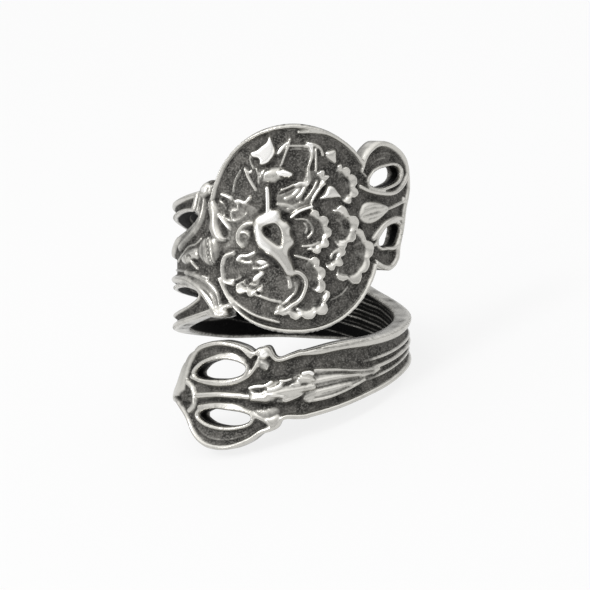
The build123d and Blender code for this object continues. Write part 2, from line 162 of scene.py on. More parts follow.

# Worked forms, each with its points first. The columns that follow are, with sizes in millimetres,
#   ridge: width, height, rubbing, fine lines along it, height of its foot
#   boss: height, shoulder, rubbing
#   groove: width, depth, darkening
#   dish: depth, shoulder, darkening
#   polish, a painted highlight: radius, added rubbing
# Rubbing above 1 in these tables paints a highlight.
LOWER_WORK = [
    # middle of the head
    ("ridge", [(-9.4, 2), (-7, 1.75), (-5, 1.35), (-3.8, 1)], 0.62, 0.42),
    ("ridge", [(-9.4, 1), (-7.2, 0.9), (-5.1, 0.4), (-3.7, -0.55), (-2.6, -1.3)], 0.5, 0.34),
    ("ridge", [(-10, 3.7), (-8.5, 3.1), (-6.8, 2.62), (-5, 2.45), (-3.4, 2.75), (-2.3, 3.7), (-2, 4.3)],
     0.5, 0.36),
    ("ridge", [(-9.6, 4.15), (-8, 4.75), (-6.4, 5), (-4.6, 4.85), (-3.4, 4.1)], 0.34, 0.26, 0.7),
    ("ridge", [(-4.6, 5.75), (-3.6, 5.3), (-2.8, 4.3)], 0.5, 0.46),
    ("ridge", [(-10.2, -0.6), (-8.8, -1.7), (-6.6, -2.25), (-4.6, -2.1)], 0.24, 0.14, 0.55),
    ("groove", [(-10.6, 5.2), (-9.8, 5.75), (-8.8, 5.95)], 0.34, 0.3, 1),
    # knobs at the neck
    ("boss", [(-2.15, 4.1), (-2, 4.8), (-1.4, 5.05), (-0.95, 4.5), (-1.2, 3.9), (-1.7, 3.75)],
     0.62, 0.6, 1),
    ("boss", [(-2.7, 3.9), (-1.9, 4.1), (-1.15, 3.7), (-1.2, 3.2), (-1.7, 2.8), (-2.3, 3.2)],
     0.4, 0.5, 0.42),
    ("ridge", [(-1.25, 4.7), (-0.95, 4.3), (-0.75, 3.8)], 0.34, 0.42),
    ("ridge", [(-1.9, 3.6), (-1.5, 3.3), (-1.6, 2.95)], 0.26, 0.44, 0.75),
    # painted highlight on the knob
    ("polish", [(-1.65, 4.35), (-1.5, 4.3)], 0.38, 0.45),
    ("boss", [(-4.3, 0.25), (-3, -0.1), (-1.6, -0.1), (-0.9, -0.6), (-1.3, -1.1), (-1.5, -1.9),
     (-2.4, -2.15), (-3, -1.4)], 0.36, 0.9, 0.6),
    ("boss", [(-2.9, -0.95), (-2.1, -0.9), (-1.4, -0.85), (-1.2, -1.25), (-1.6, -2), (-2.4, -2.15)],
     0.46, 0.5, 0.88),
    # cup at the tip
    ("ridge", [(-10.8, 3.35), (-10, 2.8), (-9.8, 2), (-10, 1.3), (-10.9, 0.9)], 0.6, 0.45),
    ("dish", [(-13.3, 2.2), (-12.6, 2.8), (-11.2, 2.9), (-10.5, 2.55), (-10.3, 1.9), (-10.8, 1.4),
     (-12, 1.35), (-12.9, 1.6)], 0.3, 0.4),
    ("ridge", [(-12.9, 2.15), (-11.8, 2.35), (-10.7, 2.3)], 0.2, 0.1, 0.7, 0, -0.2),
    # bud and leaves
    ("boss", [(1.8, 2.15), (3.7, 1.98), (5.3, 1.42), (7.4, 0.85), (9.6, 0.42), (8.4, 0.2), (6.6, 0),
     (5, -0.3), (3.7, -0.56), (2.1, -0.58), (1, -0.3)], 0.32, 0.35, 0.76),
    ("boss", [(2, 2.15), (3.7, 1.98), (5.3, 1.42), (7.4, 0.85), (9.4, 0.45), (7, 0.7), (5, 1),
     (3.2, 1.25), (2, 1.2)], 0.34, 0.4, 0.72),
    ("boss", [(1.4, 0.5), (3.4, 0.5), (5.2, 0.36), (8.4, 0.25), (6.8, -0.02), (5.2, -0.3), (3.7, -0.56),
     (2.1, -0.58), (0.9, -0.3)], 0.38, 0.5, 0.85),
    ("boss", [(1.8, 1.35), (3.6, 1.3), (5.4, 1), (7.4, 0.62), (9.2, 0.35), (7, 0.35), (5, 0.5),
     (3.2, 0.62), (1.8, 0.6)], 0.44, 0.4, 0.85),
    ("boss", [(-3.75, 1.2), (-3.6, 1.8), (-2.7, 2.05), (-1.5, 2.08), (-0.4, 1.95), (0.6, 2.05),
     (1.6, 2.32), (2.3, 1.9), (2.3, 0.7), (1.3, 0.25), (0.1, -0.15), (-0.8, -0.2), (-1.8, 0.05),
     (-2.9, 0.3), (-3.6, 0.55)], 0.66, 0.9, 0.74),
    ("boss", [(-3.72, 1.15), (-2.8, 1.2), (-1.9, 1.05), (-1.6, 0.55), (-2, 0.1), (-2.9, 0.3),
     (-3.6, 0.55)], 0.84, 0.6, 0.95),
    ("boss", [(-0.9, 0.35), (0.2, 0.4), (1.3, 0.55), (1, 0.15), (0.2, -0.1), (-0.7, -0.2)], 0.72, 0.4),
    ("ridge", [(-3.3, 1.72), (-2.6, 1.75), (-2, 1.65), (-1.35, 1.9)], 0.42, 0.4, 1.2, 0, 0.42),
    ("ridge", [(-1.75, 1.3), (-1.2, 1.3), (-0.6, 1.5)], 0.4, 0.42, 1.2, 0, 0.42),
    ("ridge", [(-0.6, 1.85), (-0.2, 1.75), (0.3, 1.8)], 0.34, 0.38, 1.1, 0, 0.42),
    ("ridge", [(-2, 0.8), (-0.8, 0.85), (0.6, 0.8), (2, 0.75)], 0.6, 0.32, 0.9, 0, 0.42),
    ("ridge", [(-1.6, 0.75), (-0.6, 0.45)], 0.3, 0.4, 1.1, 0, 0.42),
    ("ridge", [(1.4, 2.05), (1.9, 2.05), (2.15, 1.85)], 0.5, 0.36, 1.2, 0, 0.42),
    ("ridge", [(0.9, 1.72), (1.5, 1.55), (2.2, 1.3)], 0.3, 0.34, 0.85, 0, 0.42),
    ("ridge", [(0.3, 1.35), (0.9, 1.2)], 0.3, 0.34, 0.8, 0, 0.42),
    ("ridge", [(2.4, 2.08), (4.2, 1.72), (6.4, 1.06), (8.8, 0.56)], 0.26, 0.42, 0.92),
    ("ridge", [(2.4, 1.15), (4.4, 1.02), (6.6, 0.66)], 0.34, 0.5, 0.92),
    ("ridge", [(1.4, -0.44), (3, -0.52), (4.8, -0.32), (7, 0.1)], 0.28, 0.44, 0.92),
    ("ridge", [(2.3, 0.2), (3.6, 0.16), (5.4, 0.1)], 0.5, 0.48, 0.92),
    ("groove", [(2.4, 1.68), (4.2, 1.4), (6.4, 0.92), (8.2, 0.6)], 0.26, 0.12, 0.55),
    ("groove", [(2.2, 0.86), (4.2, 0.78), (6.4, 0.5)], 0.2, 0.1, 0.55),
    ("groove", [(2.3, 0.52), (4.4, 0.5), (6.2, 0.36), (7.8, 0.3)], 0.2, 0.12, 0.55),
    ("groove", [(2, -0.22), (3.6, -0.24), (5.4, -0.1)], 0.2, 0.1, 0.55),
    ("groove", [(2.6, 1.88), (4.4, 1.5), (6.2, 1.02)], 0.12, 0.07, 0.55),
    ("groove", [(2.6, -0.02), (4, 0), (6.2, 0.12), (8, 0.3)], 0.14, 0.08, 0.55),
    ("groove", [(-3.05, 1.42), (-2.5, 1.32), (-2, 1.4)], 0.42, 0.16, 0.55),
    ("groove", [(-0.4, 1.4), (0.2, 1.45), (0.8, 1.7)], 0.4, 0.12, 0.55),
    ("groove", [(1.1, 1.15), (1.5, 1.1)], 0.3, 0.12, 0.55),
    ("groove", [(-1.5, 0.2), (-1.1, 0.4), (-0.9, 0.2)], 0.26, 0.12, 0.55),
]

LOWER_SCRATCHES = [
    ("groove", [(11.6, 4.35), (13.2, 3.85), (14.8, 3.5)], 0.22, 0.12, 0.8),
    ("groove", [(13, 4.3), (14.4, 3.95), (16, 3.6)], 0.2, 0.1, 0.8),
    ("groove", [(3, 3.75), (6, 3.5), (9, 3.35)], 0.16, 0.1, 0.8),
]

COLLAR_WORK = [
    # strands that part round the bud and end in a knob and a foot
    ("ridge", [(-13, 1.4), (-11.5, 1.8), (-10.1, 2.25), (-8.9, 2.9), (-8.15, 3.8), (-7.75, 4.7),
     (-7.6, 5.4)], 0.9, 0.4, 0.74, 1),
    ("ridge", [(-12, 2.2), (-10.3, 2.75), (-9.1, 3.6), (-8.4, 4.6), (-8, 5.4)], 0.8, 0.44, 0.78, 1),
    ("ridge", [(-16.5, 1.3), (-14, 1.8), (-12.2, 2.45), (-10.6, 3.1), (-9.4, 4.05), (-8.7, 4.95),
     (-8.2, 5.7)], 0.8, 0.5, 0.88),
    ("boss", [(-12, -1.6), (-10.4, -1.7), (-9.2, -1.95), (-8.3, -2.4), (-7.7, -3.2), (-7.6, -4.2),
     (-7.8, -5.2), (-8.7, -5.1), (-9.1, -4.2), (-9.8, -3.3), (-10.8, -2.5)], 0.32, 0.3, 0.62),
    ("ridge", [(-16.5, -0.9), (-14, -1.25), (-12, -1.6), (-10.4, -2.35), (-9.5, -3.2), (-8.8, -4.2),
     (-8.3, -5.1)], 0.75, 0.5, 0.72),
    ("ridge", [(-10.6, -1.95), (-9.4, -2.7), (-8.5, -3.7), (-8.2, -4.9)], 0.5, 0.44, 0.66, 1),
    ("ridge", [(-12, -0.95), (-10, -1.65), (-8.8, -2.35), (-7.9, -3.4), (-7.8, -4.4)], 0.6, 0.42, 0.66, 1),
    ("ridge", [(-15, -0.3), (-12.5, -0.75), (-10.4, -1.2)], 0.3, 0.26, 0.6),
    ("ridge", [(-14, 0.3), (-12.4, 0.7), (-11, 1.15), (-9.8, 1.15), (-8.9, 1.5)], 0.26, 0.32, 0.75),
    ("ridge", [(-10.9, -0.1), (-10.5, -0.5), (-9.95, -0.95)], 0.3, 0.36, 0.9),
    ("ridge", [(-9.35, -1.65), (-8.7, -1.95)], 0.26, 0.46, 1.1),
    ("boss", [(-8.3, 5.2), (-7.8, 5.95), (-7, 6.15), (-6.5, 5.6), (-7, 4.9), (-7.8, 4.7)], 0.58, 0.5, 0.75),
    # painted highlight on the knob
    ("polish", [(-7.45, 5.5), (-7.2, 5.5)], 0.42, 0.55),
    ("boss", [(-9.3, -4.95), (-8.6, -4.85), (-7.6, -5), (-7.05, -5.1), (-7.1, -5.4), (-7.7, -5.6),
     (-8.8, -5.45)], 0.46, 0.25, 1.02),
    # bud with its two small leaves
    ("boss", [(-12.8, 0.3), (-11.6, 0.85), (-10.3, 0.95), (-9.2, 0.85), (-9.3, 0), (-9.6, -0.35),
     (-10.4, -0.1), (-11.6, -0.45)], 0.5, 0.6, 0.7),
    ("boss", [(-9.6, 0.4), (-9, 1.3), (-8, 1.65), (-7, 1.5), (-6.6, 0.7), (-6.8, -0.5), (-7.6, -1.1),
     (-8.5, -1), (-9.3, -0.3)], 0.66, 1, 0.66),
    ("groove", [(-8.6, 1.2), (-8.5, 0.4), (-8.7, -0.6)], 0.24, 0.035, 0.5),
    ("groove", [(-8, 1.4), (-7.9, 0.4), (-8, -0.8)], 0.26, 0.04, 0.5),
    ("groove", [(-7.4, 1.3), (-7.3, 0.4), (-7.4, -0.7)], 0.24, 0.035, 0.5),
    ("groove", [(-11.2, 0.35), (-10.8, 0.4), (-10.6, 0.25)], 0.3, 0.16, 0.5),
    ("groove", [(-12, 0.5), (-11, 0.7), (-10, 0.6)], 0.14, 0.08, 0.5),
]

UPPER_WORK = [
    ("ridge", [(7, 2.75), (8, 2.1), (9.7, 1.45), (11.4, 1.15), (13.2, 1.4), (14.6, 1.9)], 0.5, 0.45),
    ("ridge", [(7.6, -2), (8.4, -1.5), (9.4, -1.1), (11, -1.05), (12.8, -1.6)], 0.5, 0.4),
    ("ridge", [(7.2, -2.6), (8, -2.6), (9, -3.2), (10.2, -3.6), (11, -3.4)], 0.3, 0.3),
    ("ridge", [(8.1, 4.5), (9.4, 4.95), (11, 4.7), (12.4, 4.1)], 0.2, 0.14, 0.42),
    ("ridge", [(8.2, 4), (9.4, 4.45), (10.6, 4.4)], 0.2, 0.14, 0.5),
    ("ridge", [(6.4, 5.05), (6.9, 5.3), (7.8, 5.15)], 0.2, 0.2, 0.7),
    ("ridge", [(7.9, 5.3), (7.4, 4.7), (7.3, 4.2), (7.9, 3.4)], 0.24, 0.3, 0.8),
]

# Petals, lowest first: root, lobes, level, lift towards the edge, hollow, veins
PETALS = [
    ((4, 3.2), [(5.55, 5.05), (6.05, 4.75), (6.75, 3.5), (6.6, 2.1), (5.75, 1.65)], 0.12, 0.16, 0.1, 4),
    ((4.2, -2.2), [(6.45, -1.05), (7.3, -2.8), (6.35, -4.25), (4.95, -5.3), (3.5, -4.7)],
     0.12, 0.16, 0.1, 5),
    ((3, 0.2), [(5.15, 1.35), (6.15, -0.25), (5.45, -1.55), (4.4, -2)], 0.18, 0.16, 0.1, 4),
    ((2.2, -1.6), [(4.35, -2.35), (3.8, -3.4), (2.9, -3.65)], 0.2, 0.14, 0.08, 4),
    ((0.2, -4), [(2.15, -5.75), (1.5, -7.1), (0, -7.25), (-1.35, -6.95), (-2.4, -6.3)],
     0.12, 0.18, 0.08, 5),
    ((-0.5, -3.5), [(1.85, -2.3), (2.25, -3.5), (1.95, -4.9)], 0.22, 0.14, 0.1, 3),
    ((-3, -2.2), [(-5.8, -3.7), (-4.65, -4.35), (-3.7, -4.1)], 0.16, 0.16, 0.08, 4),
    ((2, 3.6), [(3.9, 4.9), (4.25, 4.3), (3.8, 3.75)], 0.26, 0.14, 0.08, 0),
    ((0.9, 0.15), [(2.55, 1.75), (3.35, 0.85), (3.45, -0.4), (2.9, -1.5), (2, -1.9)], 0.34, 0.16, 0.12, 0),
]

# Low forms of the flower: outline, height, rubbing
FLOWER_PLATES = [
    ([(-6.9, 2), (-6.3, 4.4), (-5.6, 4.9), (-4.6, 4.3), (-3.4, 3.7), (-2.8, 3.4), (-2.2, 2.6), (-3, 1.6),
     (-4, -0.2), (-5.6, 0.4)], 0.18, 0.46),
    ([(-4.5, 4.5), (-4.1, 5.7), (-3.2, 6.4), (-2.6, 5.2), (-2.2, 4.3), (-3, 3.8)], 0.1, 0.22),
    ([(-0.8, 2.6), (-0.7, 3.8), (0.4, 4.4), (1.8, 4.5), (2.3, 5.3), (3.3, 5.1), (3.9, 4.4), (3.6, 3.4),
     (2.6, 2.5), (1.2, 2), (0, 1.8)], 0.28, 0.54),
    ([(-7, -0.6), (-6.95, -2.4), (-6.2, -2.95), (-5, -2.8), (-3.2, -2.3), (-2.4, -1.6), (-3.2, -0.9),
     (-5, -0.3)], 0.16, 0.34),
    ([(-0.9, -2.6), (0.2, -3.2), (0.45, -4.2), (0.05, -5), (-0.7, -5.6), (-2.2, -5.8), (-3.9, -4.4),
     (-3.2, -3.2), (-2.3, -2.2)], 0.26, 0.32),
]

# Hollow inside the arch at the flower's top
ARCH_HOLLOW = [
    (0.5, 6), (0.95, 6.9), (1.3, 7.15), (2.8, 6.95), (2.8, 6.2), (2.45, 5.4), (1.6, 5.2), (1, 5.8),
]

# Turned-over flaps and folds: outline, height, shoulder, rubbing. Rubbing above 1 paints a highlight, as on
# the crown.
FLOWER_FLAPS = [
    ([(2.75, 2.55), (3.4, 2.95), (3.9, 3.65), (4.5, 3.45), (4.8, 2.85), (5.1, 2.2), (4.4, 2.25),
     (3.4, 2.4)], 0.66, 0.4, 1.1),
    ([(4.25, 5.9), (4.3, 6.35), (4.75, 6.5), (5.4, 6.4), (5.3, 5.7), (5.15, 5.05), (4.6, 5.4)],
     0.5, 0.4, 0.8),
    ([(-2.15, 7.75), (-1.5, 7.85), (-1, 8.1), (-0.5, 8.35), (-0.1, 8.85), (0.15, 7.95), (0.1, 7.2),
     (-0.2, 6.75), (-0.8, 6.35), (-1.55, 6.4), (-1.5, 6.95), (-2.05, 7.2)], 0.62, 0.3, 1.3),
    ([(0.08, 7.15), (0.45, 7.6), (0.8, 7.8), (1.45, 8), (1.05, 7.5), (0.65, 7.1), (0.25, 6.9)],
     0.5, 0.25, 1.3),
    ([(-1.75, 5.1), (-1.8, 5.8), (-1.2, 6.2), (-0.5, 6.2), (0.5, 6), (1.15, 5.5), (1.4, 5.05), (0.9, 4.7),
     (0.1, 4.8), (-0.5, 4.6), (-1.2, 4.75)], 0.6, 0.7, 0.74),
    ([(-0.15, 5.7), (0.45, 5.9), (1.1, 5.5), (1.35, 5.1), (0.95, 4.82), (0.2, 4.95), (-0.25, 5.25)],
     0.84, 0.45, 1.25),
    ([(-7.6, 1.5), (-7.8, 2.3), (-7.5, 3), (-7.55, 3.9), (-7.2, 4.7), (-6.7, 4.9), (-6.3, 4.3),
     (-6.15, 3.3), (-6.4, 2.3), (-6.1, 1.2), (-5.5, 0.85), (-6.4, 0.65), (-7.1, 0.9)], 0.5, 0.6, 0.78),
    ([(-3.65, -1.42), (-3, -1.3), (-2.4, -1.65), (-3.1, -1.95)], 0.5, 0.25, 1.3),
    ([(-4.3, -3), (-3.95, -2.5), (-3.1, -2.3), (-2.95, -2.6), (-3.4, -3), (-4, -3.25)], 0.52, 0.35, 1.25),
]

# Rims, folds and strokes of the flower: points, width, height, rubbing. Rubbing above 1 paints a highlight.
FLOWER_STROKES = [
    ([(-4.45, 4.75), (-4, 5.7), (-3.35, 6.35)], 0.28, 0.28, 0.65),
    ([(-2.9, 6.4), (-2.7, 5.5), (-2.3, 4.5)], 0.36, 0.38, 0.95),
    ([(-2.75, 6.2), (-2.5, 6), (-2.3, 6.15)], 0.24, 0.34, 0.85),
    ([(-2.2, 7.5), (-2.25, 6.9), (-2.1, 6.3)], 0.26, 0.32, 0.75),
    ([(-1.85, 6.2), (-1.8, 5.6), (-1.9, 5)], 0.3, 0.36, 0.7),
    ([(1.55, 8.1), (1.05, 7.2), (0.35, 6.1)], 0.28, 0.42, 0.85),
    ([(1.25, 7.55), (2, 7.42), (2.9, 7.15)], 0.22, 0.3, 0.85),
    ([(1.35, 7.2), (2.1, 7.12), (2.85, 6.85)], 0.18, 0.22, 0.6),
    ([(3, 7.4), (3.2, 6.9), (3.05, 6.2), (2.6, 5.4), (2.45, 4.8)], 0.44, 0.44, 0.85),
    ([(3.2, 7.35), (3.7, 7.05), (4, 6.65), (4.05, 6.15)], 0.36, 0.42, 0.85),
    ([(3.55, 6.75), (3.38, 5.9), (3.2, 5)], 0.26, 0.46, 0.95),
    ([(3.1, 8.05), (4.3, 7.8), (5.3, 7.3)], 0.26, 0.12, 0.7),
    ([(-5.65, 4.75), (-5.3, 4.6), (-4.75, 4.25)], 0.4, 0.44, 1.15),
    ([(-4.35, 3.9), (-3.95, 3.88), (-3.5, 3.6), (-3, 3.92)], 0.42, 0.44, 1.2),
    ([(-4.2, 3.9), (-4.3, 3.2), (-4.95, 3.15), (-5, 2.4)], 0.3, 0.34, 0.8),
    ([(-6.2, 3), (-5.85, 2.4), (-5.4, 1.75)], 0.34, 0.52, 1.2),
    ([(-3, 1.8), (-3.9, 1.8), (-4.6, 1.35), (-4.85, 0.6), (-4.55, 0.05)], 0.46, 0.46, 0.95),
    ([(-4.35, 1.2), (-4, 1.15), (-3.7, 0.85)], 0.28, 0.42, 0.85),
    ([(-5.5, -0.35), (-6.3, -0.42), (-6.78, -1), (-6.98, -1.95), (-6.85, -2.6), (-6.1, -2.92)],
     0.46, 0.44, 0.95),
    ([(-5.2, -0.98), (-4.8, -0.72), (-4.2, -0.82), (-3.5, -0.68)], 0.4, 0.46, 1.25),
    ([(-5, -1.1), (-4.5, -1.38), (-3.9, -1.45)], 0.24, 0.32, 0.8),
    ([(-6.5, -2.5), (-5.9, -2.65), (-5.2, -2.55)], 0.2, 0.28, 0.65),
    ([(-3.9, -2), (-3.2, -2.15), (-2.5, -1.95)], 0.32, 0.34, 0.7),
    ([(-7.6, 0.3), (-6.6, 0.25), (-5.6, 0.4), (-4.9, 0.2)], 0.8, 0.2, 0.42),
    ([(-5.1, -2.9), (-4.75, -3.4), (-4.75, -3.9)], 0.24, 0.36, 0.7),
    ([(-4.5, -3.2), (-4, -3.45), (-3.6, -3.2)], 0.24, 0.38, 0.65),
    ([(-0.75, -2.95), (-0.1, -3.1), (0.32, -3.6), (0.38, -4.15), (0.05, -4.85), (-0.5, -5.45),
     (-1.3, -5.75), (-2, -6.05), (-2.7, -6.05)], 0.56, 0.52, 0.96),
    ([(-1.15, -3), (-0.98, -3.6), (-1.05, -4.15)], 0.4, 0.44, 0.85),
    ([(-0.55, -3.9), (-0.5, -4.4), (-0.8, -4.85)], 0.34, 0.4, 0.6),
    ([(-4.1, -4.25), (-3.1, -4.85), (-2.1, -5.25)], 0.3, 0.38, 1.05),
    ([(-2.6, -5.65), (-1.7, -5.4), (-1, -4.9)], 0.28, 0.4, 0.75),
    ([(-0.1, -1.65), (0.85, -2.12), (1.35, -2.4)], 0.3, 0.44, 1.05),
    ([(1.35, -2.9), (1.62, -3.6), (1.45, -4.5)], 0.24, 0.42, 0.65),
    ([(2.2, -6.05), (3.3, -5.8), (4.05, -5.3)], 0.28, 0.16, 0.75),
    ([(0.25, 1.6), (1.1, 1.98), (2.2, 2.12)], 0.42, 0.64, 1.25),
    ([(0.6, 1.35), (1.45, 1.15), (1.85, 0.5), (1.78, -0.05), (1.3, -0.42)], 0.24, 0.54, 0.62),
    ([(1.25, 0.9), (1.45, 0.4), (1.2, 0)], 0.2, 0.52, 0.55),
    ([(0.7, -1), (1.5, -1.12), (2.15, -0.98)], 0.24, 0.54, 0.85),
    ([(1.1, -1.38), (1.9, -1.42), (2.5, -1.15)], 0.22, 0.56, 0.8),
    ([(2.1, 1.35), (2.65, 0.7), (2.75, -0.2)], 0.2, 0.58, 0.5),
    ([(4.1, 1.32), (4.5, 1.22), (4.75, 0.95)], 0.3, 0.5, 1.15),
    ([(4.1, 0.5), (4.5, 0.2), (4.5, -0.4)], 0.24, 0.36, 0.45),
    ([(4.1, -1.42), (4.6, -1.55), (5, -1.2)], 0.3, 0.46, 1.2),
    ([(2.95, -2.55), (3.2, -2.2), (3.65, -2.05)], 0.26, 0.42, 0.8),
    ([(3.3, -2.95), (3.6, -2.55), (4, -2.3)], 0.22, 0.42, 0.7),
    ([(-0.8, -6.15), (-0.6, -6.4)], 0.34, 0.4, 1.15),
    ([(0.65, -6.4), (0.2, -6.6), (-0.25, -6.55)], 0.28, 0.38, 1.05),
    ([(1.55, 8.85), (2.1, 8.85), (2.5, 8.72)], 0.28, 0.14, 1),
    ([(-0.75, 2.9), (0.1, 2.68), (0.85, 2.25)], 0.3, 0.42, 0.75),
    ([(-0.1, 4.05), (0.5, 4.12), (1.05, 4.28)], 0.28, 0.48, 0.95),
    ([(1.25, 4.2), (1.7, 4.3), (2.25, 4)], 0.36, 0.5, 1.2),
    ([(1.95, 3.8), (1.6, 3.4), (1.1, 3.05)], 0.32, 0.46, 0.8),
    ([(0.1, 3.2), (0.8, 3.35), (1.4, 3.75)], 0.3, 0.44, 0.75),
    ([(2.15, 2.3), (2.75, 3.05), (3.3, 3.5), (3.85, 3.8)], 0.22, 0.5, 0.85),
    ([(1.3, 2.65), (2.1, 3), (2.7, 3.6), (3.1, 4.1)], 0.26, 0.46, 0.7),
    ([(-6, 4.2), (-5.5, 3.9), (-5.3, 3.3)], 0.4, 0.34, 0.6),
    ([(-5.8, 2.9), (-5.3, 2.4), (-4.4, 2.3), (-3.6, 2.6)], 0.4, 0.32, 0.6),
    ([(2.5, 4.9), (2.45, 4.4), (2.3, 4.1)], 0.46, 0.42, 0.6),
    ([(0.1, 2.3), (0.9, 2.52), (1.6, 2.6)], 0.24, 0.42, 0.7),
]

# Creases between the folds: points, width, depth
FLOWER_CREASES = [
    ([(-0.25, 3.75), (0.4, 3.88), (1.05, 4)], 0.2, 0.18),
    ([(2.5, 2.3), (3, 2.85), (3.6, 3.35)], 0.14, 0.1),
    ([(-1.5, 5.25), (-1.25, 5.8), (-0.7, 6)], 0.22, 0.14),
    ([(-4, -4.5), (-3.1, -5.08), (-2.1, -5.48)], 0.16, 0.16),
    ([(1.5, 2.75), (2, 3.3), (2.5, 3.8)], 0.22, 0.16),
    ([(-5.6, 4.3), (-5.3, 3.6), (-5.5, 2.8)], 0.3, 0.14),
]

HEART_WORK = [
    # second line of the rim, at the lower left and the upper right
    ("ridge", [(-6.5, -4), (-5.7, -4.95), (-4.5, -5.95), (-2.6, -6.9)], 0.32, 0.44, 0.85),
    ("ridge", [(2.4, 8.5), (4.2, 8.05), (6, 7), (7.1, 5.9)], 0.34, 0.44, 0.85),
    # heart: a ring with a bar above and a stem below
    ("ridge", [(-1.2, 4.42), (-1.35, 3.5), (-1.55, 2.5)], 0.56, 0.82, 1.3),
    ("boss", [(-2.7, 2.35), (-3.2, 1.75), (-3.3, 0.7), (-3.25, -0.15), (-2.8, -0.8), (-2.2, -1.35),
     (-1.8, -1.95), (-1.5, -2.6), (-1.2, -3.35), (-0.3, -3.4), (-0.3, -2.3), (-0.45, -1.25),
     (0.15, -0.85), (0.3, -0.25), (0.05, 0.22), (0.25, 0.8), (-0.05, 1.4), (-0.45, 1.7), (-0.4, 2.2),
     (-0.66, 2.66), (-1.3, 2.72)], 0.9, 0.7, 1.06),
    ("dish", [(-2.42, 1.35), (-1.75, 1.55), (-1, 1.48), (-0.68, 0.85), (-0.68, 0.1), (-0.95, -0.75),
     (-1.45, -0.6), (-2.15, 0.2), (-2.45, 0.85)], 0.42, 0.4, 0.85),
    ("dish", [(-2.3, 1.15), (-1.85, 1.2), (-1.6, 0.7), (-1.9, 0.3), (-2.3, 0.6)], 0.16, 0.2),
    ("ridge", [(-1.3, 1.15), (-1, 0.6), (-1.15, 0), (-1.4, -0.3)], 0.4, 0.12, 0.6, 0, 0.42),
    ("dish", [(-6.4, 2.25), (-5.95, 2.1), (-5.7, 1.3), (-6.2, 1.15)], 0.2, 0.15),
    # painted highlights on the heart and on the rim
    ("polish", [(-2.1, 2.1), (-1.3, 2)], 0.7, 0.35),
    ("polish", [(-2.2, -0.6), (-2.75, 0.3), (-2.8, 1.2)], 0.45, 0.2),
    ("polish", [(3.1, 7.3), (3.2, 6.8)], 0.4, 0.4),
]

LEAF_WORK = [
    # inner line of the rim, then the leaf and its stalk
    ("groove", [(-6.3, -4.7), (-5.7, -5.35), (-4.5, -6.35), (-2.7, -7.2)], 0.16, 0.24, 0.9),
    ("boss", [(6.2, 0.2), (6.8, 1.15), (7.5, 1.35), (8.7, 1.05), (10.3, 0.05), (8.9, -0.55), (7.8, -0.75),
     (6.8, -0.5)], 0.5, 0.6),
    ("groove", [(6.7, 0.25), (8.2, 0.2), (9.6, 0.1)], 0.2, 0.12, 0.5),
    ("groove", [(7, 0.75), (8, 0.7), (9, 0.45)], 0.16, 0.1, 0.5),
    ("groove", [(7.2, -0.15), (8.2, -0.2), (9, -0.15)], 0.16, 0.1, 0.5),
    ("ridge", [(10.1, 0.05), (11.6, 0), (13.4, -0.05)], 0.34, 0.4, 0.8),
    ("boss", [(12.6, 0.2), (13, 0.45), (13.4, 0.1), (13.1, -0.3), (12.6, -0.2)], 0.55, 0.4),
]


# Reading tables and working with outlines

def curve(rows, column=1):
    """Smooth curve through a table's rows, read at any place of its first column."""
    x, y = (np.array([row[k] for row in rows]) for k in (0, column))

    def read(where):
        where = np.clip(where, x[0], x[-1])
        i = np.clip(np.searchsorted(x, where) - 1, 0, len(x) - 2)
        before, after = np.maximum(i - 1, 0), np.minimum(i + 2, len(x) - 1)
        span = x[i + 1] - x[i]
        t = (where - x[i]) / span
        left = (y[i + 1] - y[before]) / (x[i + 1] - x[before])
        right = (y[after] - y[i]) / (x[after] - x[i])
        return (
            y[i] * (2 * t ** 3 - 3 * t ** 2 + 1) + y[i + 1] * (3 * t ** 2 - 2 * t ** 3)
            + left * span * (t ** 3 - 2 * t ** 2 + t) + right * span * (t ** 3 - t ** 2)
        )
    return read


middle_share, shank_share, collar_share = curve(MIDDLE_LINE), curve(BAND, 1), curve(BAND, 2)


def middle(u):
    return rise_per_turn * middle_share(u / turn)


def half_band(u):
    return (shank_width * shank_share(u / turn) + collar_width * collar_share(u / turn)) / 2


def rounded(points, closed=True):
    """Points on a smooth line through given points."""
    points = np.array(points, float)
    count = len(points)
    line = []
    for i in range(count if closed else count - 1):
        near = np.arange(i - 1, i + 3)
        a, b, c, d = points[near % count if closed else np.clip(near, 0, count - 1)]
        for t in np.arange(line_steps) / line_steps:
            line.append(0.5 * (2 * b + (c - a) * t + (2 * a - 5 * b + 4 * c - d) * t ** 2
                               + (3 * b - a - 3 * c + d) * t ** 3))
    if not closed:
        line.append(points[-1])
    return np.array(line) * unit


def off_piece(start, end, x, y):
    """Squared distance to a straight piece of line."""
    dx, dy = end - start
    t = np.clip(((x - start[0]) * dx + (y - start[1]) * dy) / (dx * dx + dy * dy + 1e-12), 0, 1)
    return (x - start[0] - t * dx) ** 2 + (y - start[1] - t * dy) ** 2


def off_path(path, x, y):
    """Distance to an open path."""
    return np.sqrt(np.minimum.reduce([off_piece(*ends, x, y) for ends in zip(path[:-1], path[1:])]))


def inside_by(outline, x, y):
    """Distance to a closed outline, more than zero inside it."""
    nearest = np.full(x.shape, 1e9)
    within = np.zeros(x.shape, bool)
    for start, end in zip(outline, np.roll(outline, -1, axis=0)):
        nearest = np.minimum(nearest, off_piece(start, end, x, y))
        if start[1] != end[1]:
            crossing = (end[0] - start[0]) * (y - start[1]) / (end[1] - start[1]) + start[0]
            within ^= ((start[1] > y) != (end[1] > y)) & (x < crossing)
    return np.where(within, 1, -1) * np.sqrt(nearest)


def pierced(inside, eyes):
    """Distance inside a form that has eyes cut out of it."""
    return np.minimum.reduce([inside] + [-eye for eye in eyes])


def ease(low, high, x):
    t = np.clip((x - low) / (high - low), 0, 1)
    return t * t * (3 - 2 * t)


def half_round(share):
    """Height of a half-round bar at a share of half its width."""
    return np.clip(1 - share ** 2, 0, 1) ** 0.5


def wrapped(angle):
    """Angle within half a turn of zero."""
    return np.angle(np.exp(1j * angle))


